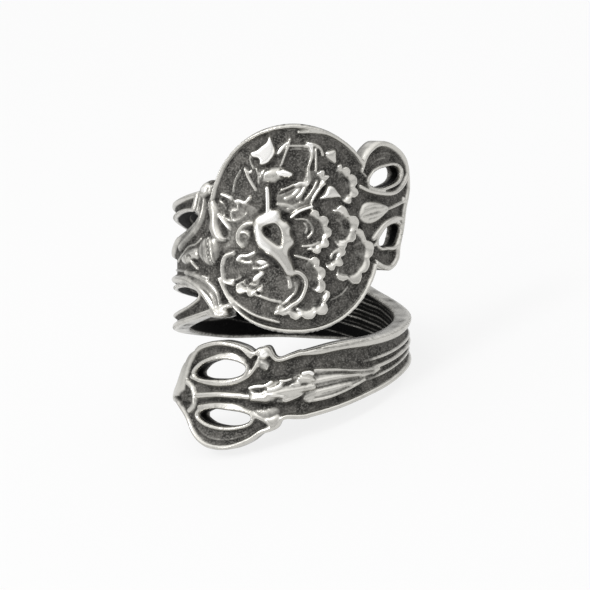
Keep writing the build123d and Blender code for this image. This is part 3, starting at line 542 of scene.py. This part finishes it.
def blurred(grid, radius):
    """Grid smoothed over a radius, for softened casting and for telling high from low."""
    reach = max(1, int(round(2.5 * radius / cell)))
    weights = np.exp(-0.5 * (np.arange(-reach, reach + 1) * cell / radius) ** 2)
    weights /= weights.sum()
    for _ in range(2):
        padded = np.pad(grid, [(reach, reach), (0, 0)], "edge")
        grid = sum(weight * padded[k:k + len(grid)] for k, weight in enumerate(weights)).T
    return grid


# A stretch of the flat handle

class Stretch:
    """A stretch of the handle as a grid of heights, with how far each point is rubbed bright."""

    everywhere = (slice(None), slice(None))

    def __init__(self, name, u_range, v_range, sheet):
        self.name = name
        places = [np.arange(round(low / cell), round(high / cell) + 1) * cell
                  for low, high in (u_range, v_range)]
        self.u, self.v = np.meshgrid(*places, indexing="ij")
        du, dv = self.u - sheet[0], self.v - sheet[1]
        self.along = du * math.cos(lean) + dv * math.sin(lean)
        self.across = dv * math.cos(lean) - du * math.sin(lean)
        self.height = np.full(self.u.shape, ground)
        self.rub = np.zeros(self.u.shape)
        self.band = half_band(self.u) - np.abs(self.v - middle(self.u))

    def within(self, points):
        """Distance inside an outline on the sheet, for every point of the grid."""
        return inside_by(rounded(points), self.along, self.across)

    def cut_out(self, inside, eyes=()):
        """Set how far each point lies inside the stretch, and from its pierced eyes."""
        self.off_eyes = pierced(np.full(inside.shape, far_off), eyes)
        self.inside = inside
        return self

    def near(self, line, margin):
        """Window of the grid round an outline or a path."""
        low, high = line.min(axis=0) - margin, line.max(axis=0) + margin
        i, j = np.nonzero((self.along > low[0]) & (self.along < high[0])
                          & (self.across > low[1]) & (self.across < high[1]))
        if not len(i):
            return slice(0, 1), slice(0, 1)
        return slice(i.min(), i.max() + 1), slice(j.min(), j.max() + 1)

    def by_path(self, points, width):
        """Window round a path, and the distance to it as a share of half its width."""
        path = rounded(points, closed=False)
        part = self.near(path, width * unit)
        return part, off_path(path, self.along[part], self.across[part]) / (width * unit / 2)

    def by_outline(self, points):
        """Window round an outline, and the distance inside it."""
        outline = rounded(points)
        part = self.near(outline, outline_margin)
        return part, inside_by(outline, self.along[part], self.across[part])

    def lay(self, part, height, rub, where):
        """Take over a form and its rubbing."""
        self.height[part] = np.where(where, height, self.height[part])
        self.rub[part] = np.where(where, rub, self.rub[part])

    def raise_to(self, part, height, rub, where):
        """Take over a form where it is the higher one."""
        self.lay(part, height, rub, where & (height > self.height[part]))

    def rail(self, inside, width, rise, rub=0.95):
        """Half-round rail along an edge, from the distance inside it."""
        profile = half_round(np.clip((inside - width / 2) / (width / 2), 0, 1))
        self.raise_to(self.everywhere, ground + rise * profile, rub * ease(0.0, 0.7, profile),
                      (inside > -3 * cell) & (inside < width))

    def ridge(self, points, width, rise, rub=0.95, lines=0, foot=0):
        """Rounded strand along a path."""
        part, share = self.by_path(points, width)
        profile = half_round(share)
        cut = 0.5 - 0.5 * np.cos(2 * math.pi * lines * share)
        self.raise_to(part, ground + foot * unit + rise * unit * profile * (1 - 0.15 * cut),
                      rub * ease(0.05, 0.6, profile) * (1 - 0.3 * cut), profile > 0)

    def groove(self, points, width, depth, dark=0.7):
        """Furrow along a path."""
        part, share = self.by_path(points, width)
        profile = np.clip(1 - share ** 2, 0, 1)
        self.height[part] -= depth * unit * profile
        self.rub[part] *= 1 - dark * profile

    def polish(self, points, radius, amount):
        """Painted highlight: a spot of added rubbing that shines like a mirror, on top of a raised form."""
        part, share = self.by_path(points, 2 * radius)
        self.rub[part] += amount * (1 - ease(0.3, 1.0, share))

    def boss(self, points, rise, shoulder, rub=0.9):
        """Crowned form inside an outline, such as a bud or a leaf."""
        part, inside = self.by_outline(points)
        crown = half_round(1 - np.clip(inside / (shoulder * unit), 0, 1))
        crown = np.where(inside > 0, blurred(crown, shoulder * unit * 0.22), 0)
        self.raise_to(part, ground + rise * unit * crown, rub * ease(0.15, 0.7, crown), inside > 0)

    def plate(self, points, rise, rub):
        """Low flat form with soft sides, left dark or half bright."""
        part, inside = self.by_outline(points)
        t = ease(0, 0.25 * unit, inside)
        self.lay(part, ground + rise * unit * t, rub * t, inside > 0)

    def dish(self, points, depth, shoulder, dark=1.0):
        """Hollow inside an outline."""
        part, inside = self.by_outline(points)
        t = ease(0, shoulder * unit, inside)
        self.height[part] -= depth * unit * t
        self.rub[part] *= 1 - dark * t

    def petal(self, root, lobes, level, lift, cup, veins):
        """Petal laid over what is there: round lobes between short notches, with a bright rim."""
        root = np.array(root) * unit
        spokes = np.array(lobes) * unit - root
        forward = math.atan2(*spokes.sum(axis=0)[::-1])
        aims = wrapped(np.arctan2(spokes[:, 1], spokes[:, 0]) - forward)
        order = np.argsort(aims)
        aims, reach = aims[order], np.hypot(*spokes[order].T)
        # the outline as a reach for each aim: a notch between two lobes, and round lobes
        between = (aims[1:] + aims[:-1]) / 2
        notches = np.concatenate([[2 * aims[0] - between[0]], between, [2 * aims[-1] - between[-1]]])
        depth = np.concatenate([reach[:1], (reach[1:] + reach[:-1]) / 2, reach[-1:]]) - petal_bite
        share = np.arange(petal_steps) / petal_steps
        low = depth[:-1, None] + np.diff(depth)[:, None] * share
        outline = (low + (reach[:, None] - low) * np.sin(math.pi * share) ** 0.62).ravel()
        outline_aims = (notches[:-1, None] + np.diff(notches)[:, None] * share).ravel()
        # each point of the grid against that outline
        part = self.near(np.vstack([root, root + spokes * 1.1]), 0.5 * unit)
        dx, dy = self.along[part] - root[0], self.across[part] - root[1]
        away, aim = np.hypot(dx, dy), wrapped(np.arctan2(dy, dx) - forward)
        outer = np.interp(aim, outline_aims, outline, left=0, right=0)
        notch = np.interp(aim, notches, depth, left=0, right=0)
        inner = notch + 0.22 * (outer - notch) - petal_rim
        side = away * np.minimum(np.abs(aim - notches[0]), np.abs(aim - notches[-1]))
        far = np.clip(away / np.maximum(outer, 0.1 * unit), 0, 1)
        edge = np.maximum(ease(-0.12 * unit, 0.10 * unit, away - inner),
                          0.7 * (1 - ease(0.08 * unit, 0.2 * unit, side)) * ease(0.5, 0.8, far))
        bead = np.clip((away - inner) / np.maximum(outer - inner, 0.05 * unit), 0, 1)
        bead = edge * (0.85 + 0.3 * np.sqrt(bead * (1 - bead)))
        furrow = (0.5 + 0.5 * np.cos(veins * aim * 2.6 + 2 * far)) * far * (veins > 0)
        hollow = cup * ease(0, 0.8 * unit, outer - away) * far
        height = level + 1.6 * lift * (far ** 2 - 0.25) + petal_bead * bead - hollow + 0.07 * furrow
        # The face is painted darker at its root, as shade under the petal over it, and lighter towards its
        # worn rim
        rub = edge * 0.8 + 0.18 + 0.22 * ease(0.2, 0.9, far) + 0.22 * furrow
        self.lay(part, ground + unit * height, np.clip(rub, 0, 1), away < outer)

    def work(self, rows):
        """Forms of a table, one after the other."""
        shapers = {"ridge": self.ridge, "boss": self.boss, "groove": self.groove,
                   "dish": self.dish, "polish": self.polish}
        for kind, *row in rows:
            shapers[kind](*row)


# The four stretches

def shank_ribs(part, strength):
    """Ribs that follow the shank. They stay together where the band spreads into the collar."""
    away = part.v - middle(part.u)
    half = (half_band(part.u) - edge_width) * (1 - 0.5 * ease(0.50, 0.60, part.u / turn))
    for place, width, rise in RIBS:
        profile = half_round((away - place * half) / (width * unit / 2))
        part.raise_to(part.everywhere, ground + rise * unit * profile * strength,
                      0.85 * ease(0.1, 0.7, profile) * strength, profile > 0)


def lower_front():
    """Lower head with its two eyes, the bud and its leaves, and the front of the shank."""
    part = Stretch("lower_head", (-17.4 * unit, shank_start), (-5.4 * unit, 8.2 * unit), LOWER)
    eyes = [part.within(eye) for eye in LOWER_EYES]
    whole = np.maximum(part.within(LOWER_HEAD), np.where(part.u > 0.8 * unit, part.band, -1.0))
    # the upper rail is wider at the tip and where the shank begins
    at_tip = 2.2 * ease(9.0 * unit, 12.5 * unit, -part.u)
    at_neck = 0.6 * ease(0.5 * unit, 3.0 * unit, part.u) * (1 - ease(0.17, 0.26, part.u / turn))
    widening = 1 + (at_tip + at_neck) * (part.v > middle(part.u))
    part.rail(np.where(part.u < -2.5 * unit, whole, blurred(whole, 0.25 * unit)),
              edge_width * widening, relief)
    for eye in eyes:
        part.rail(-eye, lower_eye_rail, relief * 0.95, 0.85)
    part.work(LOWER_WORK)
    shank_ribs(part, ease(5.0 * unit, 9.5 * unit, part.u))
    part.work(LOWER_SCRATCHES)
    return part.cut_out(pierced(whole, eyes), eyes)


def shank_back():
    """Ribbed shank round the right side and the back."""
    part = Stretch("shank", (shank_start, collar_start), (0.0, 15.5 * unit), LOWER)
    part.rail(part.band, edge_width, relief)
    shank_ribs(part, 1.0)
    return part.cut_out(part.band)


def collar_front(part, band):
    """Pierced collar with its strands and bud, whichever part of it this stretch has."""
    eyes = []
    for side in (1, -1):
        outline = [(share * turn, middle(share * turn) + side * half * collar_width / 2)
                   for share, half in COLLAR_EYE]
        eyes.append(inside_by(rounded(np.array(outline) / unit), part.u, part.v))
    part.rail(band, edge_width * (1 + 0.15 * ease(0.60, 0.68, part.u / turn)), relief)
    for eye in eyes:
        part.rail(-eye, collar_eye_rail, relief * 0.9, 0.85)
    part.work(COLLAR_WORK)
    shank_ribs(part, 1 - ease(0.66 * turn, 0.72 * turn, part.u))
    return eyes


def collar():
    """Pierced collar from the back of the shank to the left side."""
    part = Stretch("collar", (collar_start, upper_start), (2.0 * unit, 20.0 * unit), UPPER)
    eyes = collar_front(part, part.band)
    return part.cut_out(pierced(part.band, eyes), eyes)


def medallion_outline():
    """Oval that swells a little at its lower left."""
    angles = np.linspace(0, 2 * math.pi, 120, endpoint=False)
    swell = 1 + medallion_swell * np.exp(-((angles - swell_aim) / swell_reach) ** 2)
    return unit * np.stack([
        place + size * swell * wave(angles)
        for place, size, wave in zip(medallion_place, medallion_size, (np.cos, np.sin))
    ], axis=1)


def flower(part):
    """Carnation laid on the medallion, lowest forms first."""
    for row in FLOWER_PLATES:
        part.plate(*row)
    part.dish(ARCH_HOLLOW, 0.16, 0.3)
    for row in PETALS:
        part.petal(*row)
    for row in FLOWER_FLAPS:
        part.boss(*row)
    for row in FLOWER_STROKES:
        part.ridge(*row)
    for row in FLOWER_CREASES:
        part.groove(*row)
    part.work(HEART_WORK)


def upper_front():
    """Left end of the collar, the medallion with the carnation, and the upper head."""
    part = Stretch("upper_head", (upper_start, turn + 16.6 * unit), (3.6 * unit, 24.2 * unit), UPPER)
    x, y = part.along, part.across
    band = np.where(part.u < turn - 4.0 * unit, part.band, -1.0)
    ends = [part.within(end) for end in COLLAR_ENDS]
    shield = inside_by(medallion_outline(), x, y)
    head = part.within(UPPER_HEAD)
    eyes = [part.within(eye) for eye in UPPER_EYES]
    collar_eyes = collar_front(part, band)
    part.rail(np.where(x > 7.4 * unit, head, far_off), edge_width * 1.1, relief)
    for eye in eyes:
        part.rail(-eye, upper_eye_rail, relief * 0.95)
    part.work(UPPER_WORK)
    # the medallion lies over what was there, but not where it grows into the head and the collar
    covered = shield > 0
    in_collar = (x < 0) & (y > -2.1 * unit) & (y < 4.5 * unit) & (shield < 1.2 * unit)
    joined = (head > 0.2 * unit) | in_collar
    part.lay(part.everywhere, ground, 0.0, covered & ~joined & (shield < medallion_depth))
    part.height += np.where(joined, 0, medallion_step * ease(0, 0.5 * unit, shield))
    flower(part)
    part.rail(np.where(covered & ~joined, shield, far_off), medallion_rail, relief + medallion_step, 0.92)
    part.work(LEAF_WORK)
    inside = pierced(np.maximum.reduce([band, shield, head] + ends), eyes + collar_eyes)
    inside = np.where(covered, np.where(head > shield, pierced(head, eyes), shield), inside)
    return part.cut_out(inside, eyes + collar_eyes)


# From grid to closed body

def sampled(grid, part, u, v):
    """Value of a grid between its points."""
    i = np.clip((u - part.u[0, 0]) / cell, 0, grid.shape[0] - 1.001)
    j = np.clip((v - part.v[0, 0]) / cell, 0, grid.shape[1] - 1.001)
    i0, j0 = i.astype(int), j.astype(int)
    a, b = i - i0, j - j0
    return (grid[i0, j0] * (1 - a) * (1 - b) + grid[i0 + 1, j0] * a * (1 - b)
            + grid[i0, j0 + 1] * (1 - a) * b + grid[i0 + 1, j0 + 1] * a * b)


def rounding(inside, radius):
    """How far a rounded corner lies below the face, from the distance inside the outline."""
    short = np.clip(radius - inside, 0, radius)
    return radius - np.sqrt(radius ** 2 - short ** 2)


def face_looks(part):
    """Grids of rubbing and of dark patina and shade for the worked face, from what stands out around a
    point. Rubbing is wear on high points; the dark grid is patina in hollows, deepened with painted shade
    beside tall forms.
    """
    around = blurred(part.height, 0.45 * unit)
    high = np.clip((blurred(part.height, 0.09 * unit) - around) / (0.16 * unit), -1, 1)
    deep = np.clip((around - blurred(part.height, 0.08 * unit)) / (0.21 * unit), 0, 1)
    rub = blurred(part.rub, 0.05 * unit)
    rub = np.maximum(np.minimum(rub + high_rubbing * high, 1.0), np.minimum(rub, painted_highlight_top))
    return np.clip(rub + low_rubbing * np.minimum(high, 0), 0, painted_highlight_top), deepest_patina_and_shade * deep


def finger_side_looks(u, v, gap, in_eye):
    """Rubbing and darkness of the finger side: painted near black as the shade inside the ring, with
    scratches, lighter on the two heads.
    """
    wobble = 0.05 * unit * np.sin(u / unit * 0.5) + 0.02 * unit * np.sin(u / unit * 1.9 + 1)
    lines = np.zeros(len(u))
    for place, strength in SCRATCHES:
        off = (v - middle(u) + wobble * (1 + 0.3 * place)) / unit - place * scratch_spacing
        lines = np.maximum(lines, strength * np.exp(-(off / scratch_width) ** 2))
    worn = np.maximum(1 - ease(-0.03, 0.05, u / turn), ease(0.86, 0.93, u / turn))
    rub = np.maximum(0.03 + 0.44 * worn + (0.75 - 0.3 * worn) * lines,
                     0.62 * (1 - ease(0.1 * unit, 0.42 * unit, gap)) * (1 - in_eye))
    # the dark grid paints the shade inside the ring, less on the two heads
    return rub, (1.1 - 0.9 * np.minimum(rub * 1.6, 1)) * (1 - worn)


def body(part):
    """Closed flat body of a stretch: worked face, finger side and the walls between them."""
    keep = part.inside > 0.2 * cell
    cells = keep[:-1, :-1] & keep[1:, :-1] & keep[1:, 1:] & keep[:-1, 1:]
    corners = ((0, 0), (1, 0), (1, 1), (0, 1))
    used = np.zeros(keep.shape, bool)
    for a, b in corners:
        used[a:a + cells.shape[0], b:b + cells.shape[1]] |= cells
    count = int(used.sum())
    index = np.full(keep.shape, -1)
    index[used] = np.arange(count)
    i, j = np.nonzero(cells)
    quads = np.stack([index[i + a, j + b] for a, b in corners], axis=1)

    # walls stand on edges that only one cell has, and those are moved onto the outline
    starts, ends = quads.ravel(), np.roll(quads, -1, axis=1).ravel()
    lone = ~np.isin(starts * count + ends, ends * count + starts)
    border = np.stack([starts[lone], ends[lone]], axis=1)
    edge = np.zeros(count, bool)
    edge[border.ravel()] = True
    u, v = part.u[used], part.v[used]
    column = np.nonzero(used)[0]
    at_seam = (column == 0) | (column == used.shape[0] - 1)
    slopes = np.gradient(part.inside, cell)
    for _ in range(3):
        gap, slope_u, slope_v = [sampled(grid, part, u, v) for grid in (part.inside, *slopes)]
        step = np.where(edge & (np.abs(gap) < 3 * cell), gap, 0)
        step = step / np.maximum(slope_u ** 2 + slope_v ** 2, 0.2)
        u, v = u - np.where(at_seam, 0, step * slope_u), v - step * slope_v
    gap = np.maximum(sampled(part.inside, part, u, v), 0)
    gap[edge & (gap < cell * 0.6)] = 0

    # worked face and finger side, each with its height, rubbing, and patina and painted shade, then the
    # walls
    in_eye = 1 - ease(0.0, 0.12 * unit, sampled(part.off_eyes, part, u, v))
    top = sampled(blurred(part.height, softening), part, u, v) - rounding(gap, corner)
    low = rounding(gap, inner_corner)
    layers = [
        (top, *(sampled(grid, part, u, v) for grid in face_looks(part))),
        (low, *finger_side_looks(u, v, gap, in_eye)),
    ]
    patchy = 0.2 * np.sin(1.7 * u / unit) * np.sin(0.9 * u / unit + 1)
    # Walls of the eyes are painted dark as shade; the outer walls are lighter, in patches
    wall = (np.where(in_eye > 0.5, shaded_eye_rubbing, wall_rubbing + patchy), np.where(in_eye > 0.5, 1.0, 0.1))
    ring = np.unique(border)
    place = np.full(count, -1)
    place[ring] = np.arange(len(ring))
    flat = np.stack([u, v], axis=1)
    points = [np.column_stack([flat, height]) for height, _, _ in layers]
    looks = [np.stack(pair, axis=1) for _, *pair in layers]
    faces = [quads, (quads + count)[:, ::-1]]
    above = border
    for k, share in enumerate(wall_rings):
        points.append(np.column_stack([flat, low + (top - low) * share])[ring])
        looks.append(np.stack(wall, axis=1)[ring])
        here = place[border] + 2 * count + k * len(ring)
        faces.append(np.stack([above[:, 1], above[:, 0], here[:, 0], here[:, 1]], axis=1))
        above = here
    below = border + count
    faces.append(np.stack([above[:, 1], above[:, 0], below[:, 0], below[:, 1]], axis=1))

    seams = np.concatenate([at_seam, at_seam] + [at_seam[ring]] * len(wall_rings))
    return closed_body(part.name, *(np.concatenate(rows) for rows in (points, faces, looks)), seams)


def closed_body(name, points, faces, looks, seams):
    """Object from points, four-sided faces, each point's looks, and which points lie at a joint."""
    mesh = bpy.data.meshes.new(name)
    mesh.vertices.add(len(points))
    mesh.vertices.foreach_set("co", points.ravel())
    mesh.loops.add(faces.size)
    mesh.loops.foreach_set("vertex_index", faces.ravel().astype(np.int32))
    mesh.polygons.add(len(faces))
    mesh.polygons.foreach_set("loop_start", np.arange(0, faces.size, 4, dtype=np.int32))
    mesh.polygons.foreach_set("use_smooth", np.ones(len(faces), bool))
    mesh.update(calc_edges=True)
    mesh.validate()
    # the joint of two stretches has no edge of its own to catch the light
    edges = np.empty(2 * len(mesh.edges), np.int32)
    mesh.edges.foreach_get("vertices", edges)
    sharp = seams[edges].reshape(-1, 2).all(axis=1)
    mesh.attributes.new("sharp_edge", "BOOLEAN", "EDGE").data.foreach_set("value", sharp)
    for look, values in zip(("rubbed", "crevice"), looks.T.astype(np.float32)):
        mesh.attributes.new(look, "FLOAT", "POINT").data.foreach_set("value", values.copy())
    thing = bpy.data.objects.new(name, mesh)
    bpy.context.collection.objects.link(thing)
    return thing


# Building node trees

class Nodes:
    """Puts nodes into a tree and joins them. A value is a socket, a number or a colour."""

    def __init__(self, tree, inputs=(), outputs=()):
        self.tree = tree
        for way, sockets in (("INPUT", inputs), ("OUTPUT", outputs)):
            for name, kind in sockets:
                tree.interface.new_socket(name, in_out=way, socket_type="NodeSocket" + kind)

    def add(self, kind, inputs=None, **settings):
        node = self.tree.nodes.new(kind)
        for name, value in settings.items():
            setattr(node, name, value)
        for name, value in (inputs or {}).items():
            self.feed(node.inputs[name], value)
        return node

    def feed(self, socket, value):
        if isinstance(value, bpy.types.NodeSocket):
            self.tree.links.new(value, socket)
        else:
            socket.default_value = (*value, 1.0) if isinstance(value, tuple) else value

    def maths(self, operation, *values):
        return self.add("ShaderNodeMath", dict(enumerate(values)), operation=operation).outputs[0]

    def attribute(self, name):
        return self.add("ShaderNodeAttribute", attribute_name=name).outputs["Fac"]

    def noise(self, size, detail):
        """Noise with patches of a size in millimetres."""
        place = self.add("ShaderNodeTexCoord").outputs["Object"]
        scale = self.maths("DIVIDE", 1000.0, size)
        return self.add("ShaderNodeTexNoise", {
            "Vector": place, "Scale": scale, "Detail": detail, "Roughness": 0.6,
        }).outputs[0]

    def span(self, value, low, high, to_low=0.0, to_high=1.0):
        return self.add("ShaderNodeMapRange", {
            "Value": value, "From Min": low, "From Max": high, "To Min": to_low, "To Max": to_high,
        }, interpolation_type="SMOOTHSTEP").outputs[0]

    def mixed(self, share, one, other):
        """Blend of two colours."""
        return self.add("ShaderNodeMix", {0: share, 6: one, 7: other}, data_type="RGBA").outputs[2]


# Bending round the finger

def bending_tree(material):
    """Geometry Nodes: wrap a flat stretch round the finger and lay the ring at rest."""
    tree = bpy.data.node_groups.new("bend_round_finger", "GeometryNodeTree")
    numbers = [(name, "Float") for name in ("Bore Radius", "Length Radius", "Lean Back", "Lean Aside")]
    nodes = Nodes(tree, [("Geometry", "Geometry"), *numbers, ("Place", "Vector")],
                  [("Geometry", "Geometry")])
    given = nodes.add("NodeGroupInput").outputs
    position = nodes.add("GeometryNodeInputPosition").outputs[0]
    flat = nodes.add("ShaderNodeSeparateXYZ", {0: position}).outputs
    angle = nodes.maths("DIVIDE", flat["X"], given["Length Radius"])
    radius = nodes.maths("ADD", flat["Z"], given["Bore Radius"])
    inwards = nodes.maths("MULTIPLY", radius, -1.0)
    bent = nodes.add("ShaderNodeCombineXYZ", {
        "X": nodes.maths("MULTIPLY", radius, nodes.maths("SINE", angle)),
        "Y": nodes.maths("MULTIPLY", inwards, nodes.maths("COSINE", angle)),
        "Z": flat["Y"],
    })
    back = nodes.add("ShaderNodeVectorRotate", {
        "Vector": bent.outputs[0], "Angle": nodes.maths("MULTIPLY", given["Lean Back"], -1.0),
    }, rotation_type="X_AXIS")
    aside = nodes.add("ShaderNodeVectorRotate", {
        "Vector": back.outputs[0], "Angle": given["Lean Aside"],
    }, rotation_type="Y_AXIS")
    metres = nodes.add("ShaderNodeVectorMath", {0: aside.outputs[0], "Scale": 0.001}, operation="SCALE")
    shift = nodes.add("ShaderNodeVectorMath", {0: metres.outputs[0], 1: given["Place"]}, operation="ADD")
    placed = nodes.add("GeometryNodeSetPosition", {
        "Geometry": given["Geometry"], "Position": shift.outputs[0],
    })
    real = nodes.add("GeometryNodeRealizeInstances", {0: placed.outputs[0]})
    dressed = nodes.add("GeometryNodeSetMaterial", {"Geometry": real.outputs[0], "Material": material})
    nodes.add("NodeGroupOutput", {0: dressed.outputs[0]})
    return tree


axis = Vector(hole["axis"]).normalized()
lean_back = math.asin(axis.y)
lean_aside = math.atan2(axis.x, axis.z)
ring_place = Vector(hole["pos_m"]) - axis * hole_middle * 0.001
ring_turn = Matrix.Rotation(lean_aside, 3, "Y") @ Matrix.Rotation(-lean_back, 3, "X")


def bent(thing, tree):
    """The finished mesh of a stretch, bent round the finger, in an object of its own."""
    modifier = thing.modifiers.new("bend", "NODES")
    modifier.node_group = tree
    values = {
        "Bore Radius": bore_radius, "Length Radius": outer_radius,
        "Lean Back": lean_back, "Lean Aside": lean_aside, "Place": tuple(ring_place),
    }
    for item in tree.interface.items_tree:
        if item.in_out == "INPUT" and item.name in values:
            modifier[item.identifier] = values[item.name]
    graph = bpy.context.evaluated_depsgraph_get()
    mesh = bpy.data.meshes.new_from_object(thing.evaluated_get(graph))
    thing.modifiers.remove(modifier)
    flat = thing.data
    thing.data = mesh
    bpy.data.meshes.remove(flat)
    mesh.name = thing.name
    return thing


# Finish

dark_ground, light_ground = (0.040, 0.039, 0.036), (0.122, 0.117, 0.108)
# black for patina and painted shade in hollows
pale_speck, black_patina_and_shade = (0.30, 0.29, 0.27), (0.004, 0.004, 0.004)
# the last silver is near white, for painted highlights on silver polished to a mirror
dull_silver, rubbed_silver, highlight_silver = (0.25, 0.244, 0.226), (0.58, 0.567, 0.53), (0.97, 0.96, 0.935)


def silver_wear_and_painted_light_group():
    """Shader group: silver dark and grainy where it is sunk, bright where rubbing wore it, black where
    patina and painted shade lie, and near white where rubbing above 1 paints a highlight.
    """
    tree = bpy.data.node_groups.new("worn_silver", "ShaderNodeTree")
    numbers = ("Rubbed", "Crevice", "Grain Size", "Cloud Size", "Break Up")
    nodes = Nodes(tree, [(name, "Float") for name in numbers],
                  [("Color", "Color"), ("Roughness", "Float"), ("Metallic", "Float"), ("Height", "Float")])
    maths, span, mixed = nodes.maths, nodes.span, nodes.mixed
    given = nodes.add("NodeGroupInput").outputs
    rubbed, crevice, grain_size, cloud_size, break_up = (given[name] for name in numbers)
    grain = nodes.noise(grain_size, 3)
    cloud = nodes.noise(cloud_size, 2)
    speck = nodes.noise(maths("MULTIPLY", grain_size, 0.8), 1)
    broken = maths("MULTIPLY", maths("SUBTRACT", grain, 0.5), break_up)
    drift = maths("SUBTRACT", cloud, 0.5)
    worn = span(maths("ADD", maths("ADD", rubbed, broken), maths("MULTIPLY", drift, 0.35)), 0.22, 0.72)
    sunk = mixed(span(cloud, 0.35, 0.65), dark_ground, light_ground)
    sunk = mixed(maths("MULTIPLY", span(speck, 0.45, 0.68), 0.55), sunk, pale_speck)
    # patina and painted shade turn the sunk colour black
    sunk = mixed(span(maths("ADD", crevice, broken), 0.35, 1.05), sunk, black_patina_and_shade)
    cloudy = maths("MULTIPLY", maths("ADD", drift, broken), 0.7)
    bright = mixed(span(maths("ADD", rubbed, cloudy), 0.5, 1.05), dull_silver, rubbed_silver)
    # rubbing above 1 paints a highlight in near-white silver
    bright = mixed(span(rubbed, 1.0, painted_highlight_top), bright, highlight_silver)
    nodes.add("NodeGroupOutput", {
        "Color": mixed(worn, sunk, bright),
        "Roughness": span(maths("ADD", worn, maths("MULTIPLY", broken, 0.5)), 0.0, 1.0, 0.75, 0.27),
        "Metallic": span(worn, 0.0, 1.0, 0.85, 1.0),
        "Height": maths("MULTIPLY", grain, maths("SUBTRACT", 1.15, worn)),
    })
    return tree


def new_material(name, constants):
    """Material with its Principled shader, and that shader's constant values."""
    material = bpy.data.materials.new(name)
    material.use_nodes = True
    shader = material.node_tree.nodes["Principled BSDF"]
    for socket, value in constants.items():
        shader.inputs[socket].default_value = value
    return material, shader


def oxidised_silver():
    material, shader = new_material("oxidised_silver", {"Specular IOR Level": 0.2})
    nodes = Nodes(material.node_tree)
    worn = nodes.add("ShaderNodeGroup", {
        "Rubbed": nodes.attribute("rubbed"), "Crevice": nodes.attribute("crevice"),
        "Grain Size": 0.19, "Cloud Size": 1.1, "Break Up": 0.55,
    }, node_tree=silver_wear_and_painted_light_group()).outputs
    bump = nodes.add("ShaderNodeBump", {"Strength": 0.6, "Distance": 0.00005, "Height": worn["Height"]})
    nodes.feed(shader.inputs["Normal"], bump.outputs["Normal"])
    for target, source in (("Base Color", "Color"), ("Roughness", "Roughness"), ("Metallic", "Metallic")):
        nodes.feed(shader.inputs[target], worn[source])
    return material


silver = oxidised_silver()
tree = bending_tree(silver)
for make in (lower_front, shank_back, collar, upper_front):
    piece = bent(body(make()), tree)
    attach(piece, "root")
    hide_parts("spoon_ring")


# Floor, light and camera

white = (1.0, 1.0, 1.0, 1.0)
reach = 1.5
floor_mesh = bpy.data.meshes.new("floor")
floor_mesh.from_pydata([(-reach, -reach, 0), (reach, -reach, 0), (reach, reach, 0), (-reach, reach, 0)], [],
                       [(0, 1, 2, 3)])
floor = bpy.data.objects.new("floor", floor_mesh)
paper, _ = new_material("pale_paper", {
    "Base Color": (0.10, 0.10, 0.10, 1.0), "Roughness": 0.9, "Specular IOR Level": 0.1,
    "Emission Color": white, "Emission Strength": 0.81,
})
floor_mesh.materials.append(paper)
bpy.context.collection.objects.link(floor)


def softbox(name, place, target, size, power):
    data = bpy.data.lights.new(name, "AREA")
    data.shape = "RECTANGLE"
    data.size, data.size_y = size
    data.energy = power
    lamp = bpy.data.objects.new(name, data)
    lamp.location = place
    lamp.rotation_euler = (Vector(target) - Vector(place)).to_track_quat("-Z", "Y").to_euler()
    bpy.context.collection.objects.link(lamp)


centre = Vector(hole["pos_m"])
softbox("light_above", (-0.16, -0.14, 0.30), centre, (0.10, 0.10), 0.5)
softbox("light_left", (-0.30, -0.16, 0.10), centre, (0.06, 0.14), 0.15)

# The studio round the ring is brighter above than below
world = bpy.data.worlds.new("studio")
bpy.context.scene.world = world
world.use_nodes = True
sky = world.node_tree.nodes["Background"]
sky.inputs["Color"].default_value = white
studio = Nodes(world.node_tree)
toward = studio.add("ShaderNodeTexCoord").outputs["Generated"]
split = studio.add("ShaderNodeSeparateXYZ", {0: toward})
fade = studio.add("ShaderNodeMapRange", {"Value": split.outputs["Z"], "To Min": 0.50, "To Max": 1.60})
studio.feed(sky.inputs["Strength"], fade.outputs[0])
bpy.context.scene.view_settings.view_transform = "Standard"

# The camera looks 4 degrees down on the ring's own plane, with the finger's way upright in the
# picture. The picture is 590 pixels wide.
picture_width = 590
mm_per_pixel = 0.0872 * unit
camera_distance = 350.0
camera_height = math.radians(4.0)
aim_height = 8.65 * unit           # point of the axis that the framing is measured from
aim_pixel = (292.0, 286.0)
to_camera = Vector((0, -math.cos(camera_height), math.sin(camera_height)))
up = Vector((0, math.sin(camera_height), math.cos(camera_height)))
aim = Vector((0, 0, aim_height))
aim += Vector((1, 0, 0)) * (picture_width / 2 - aim_pixel[0]) * mm_per_pixel
aim -= up * (picture_width / 2 - aim_pixel[1]) * mm_per_pixel
camera_data = bpy.data.cameras.new("camera")
camera_data.sensor_width = 36.0
camera_data.lens = camera_data.sensor_width * camera_distance / mm_per_pixel / picture_width
camera_data.clip_start, camera_data.clip_end = 0.01, 10.0
camera = bpy.data.objects.new("camera", camera_data)
bpy.context.collection.objects.link(camera)
eye = ring_turn @ (aim + to_camera * camera_distance) * 0.001 + ring_place
look = ring_turn @ to_camera
upright = ring_turn @ up
sideways = upright.cross(look)
camera.matrix_world = Matrix.Translation(eye) @ Matrix((sideways, upright, look)).transposed().to_4x4()
bpy.context.scene.camera = camera
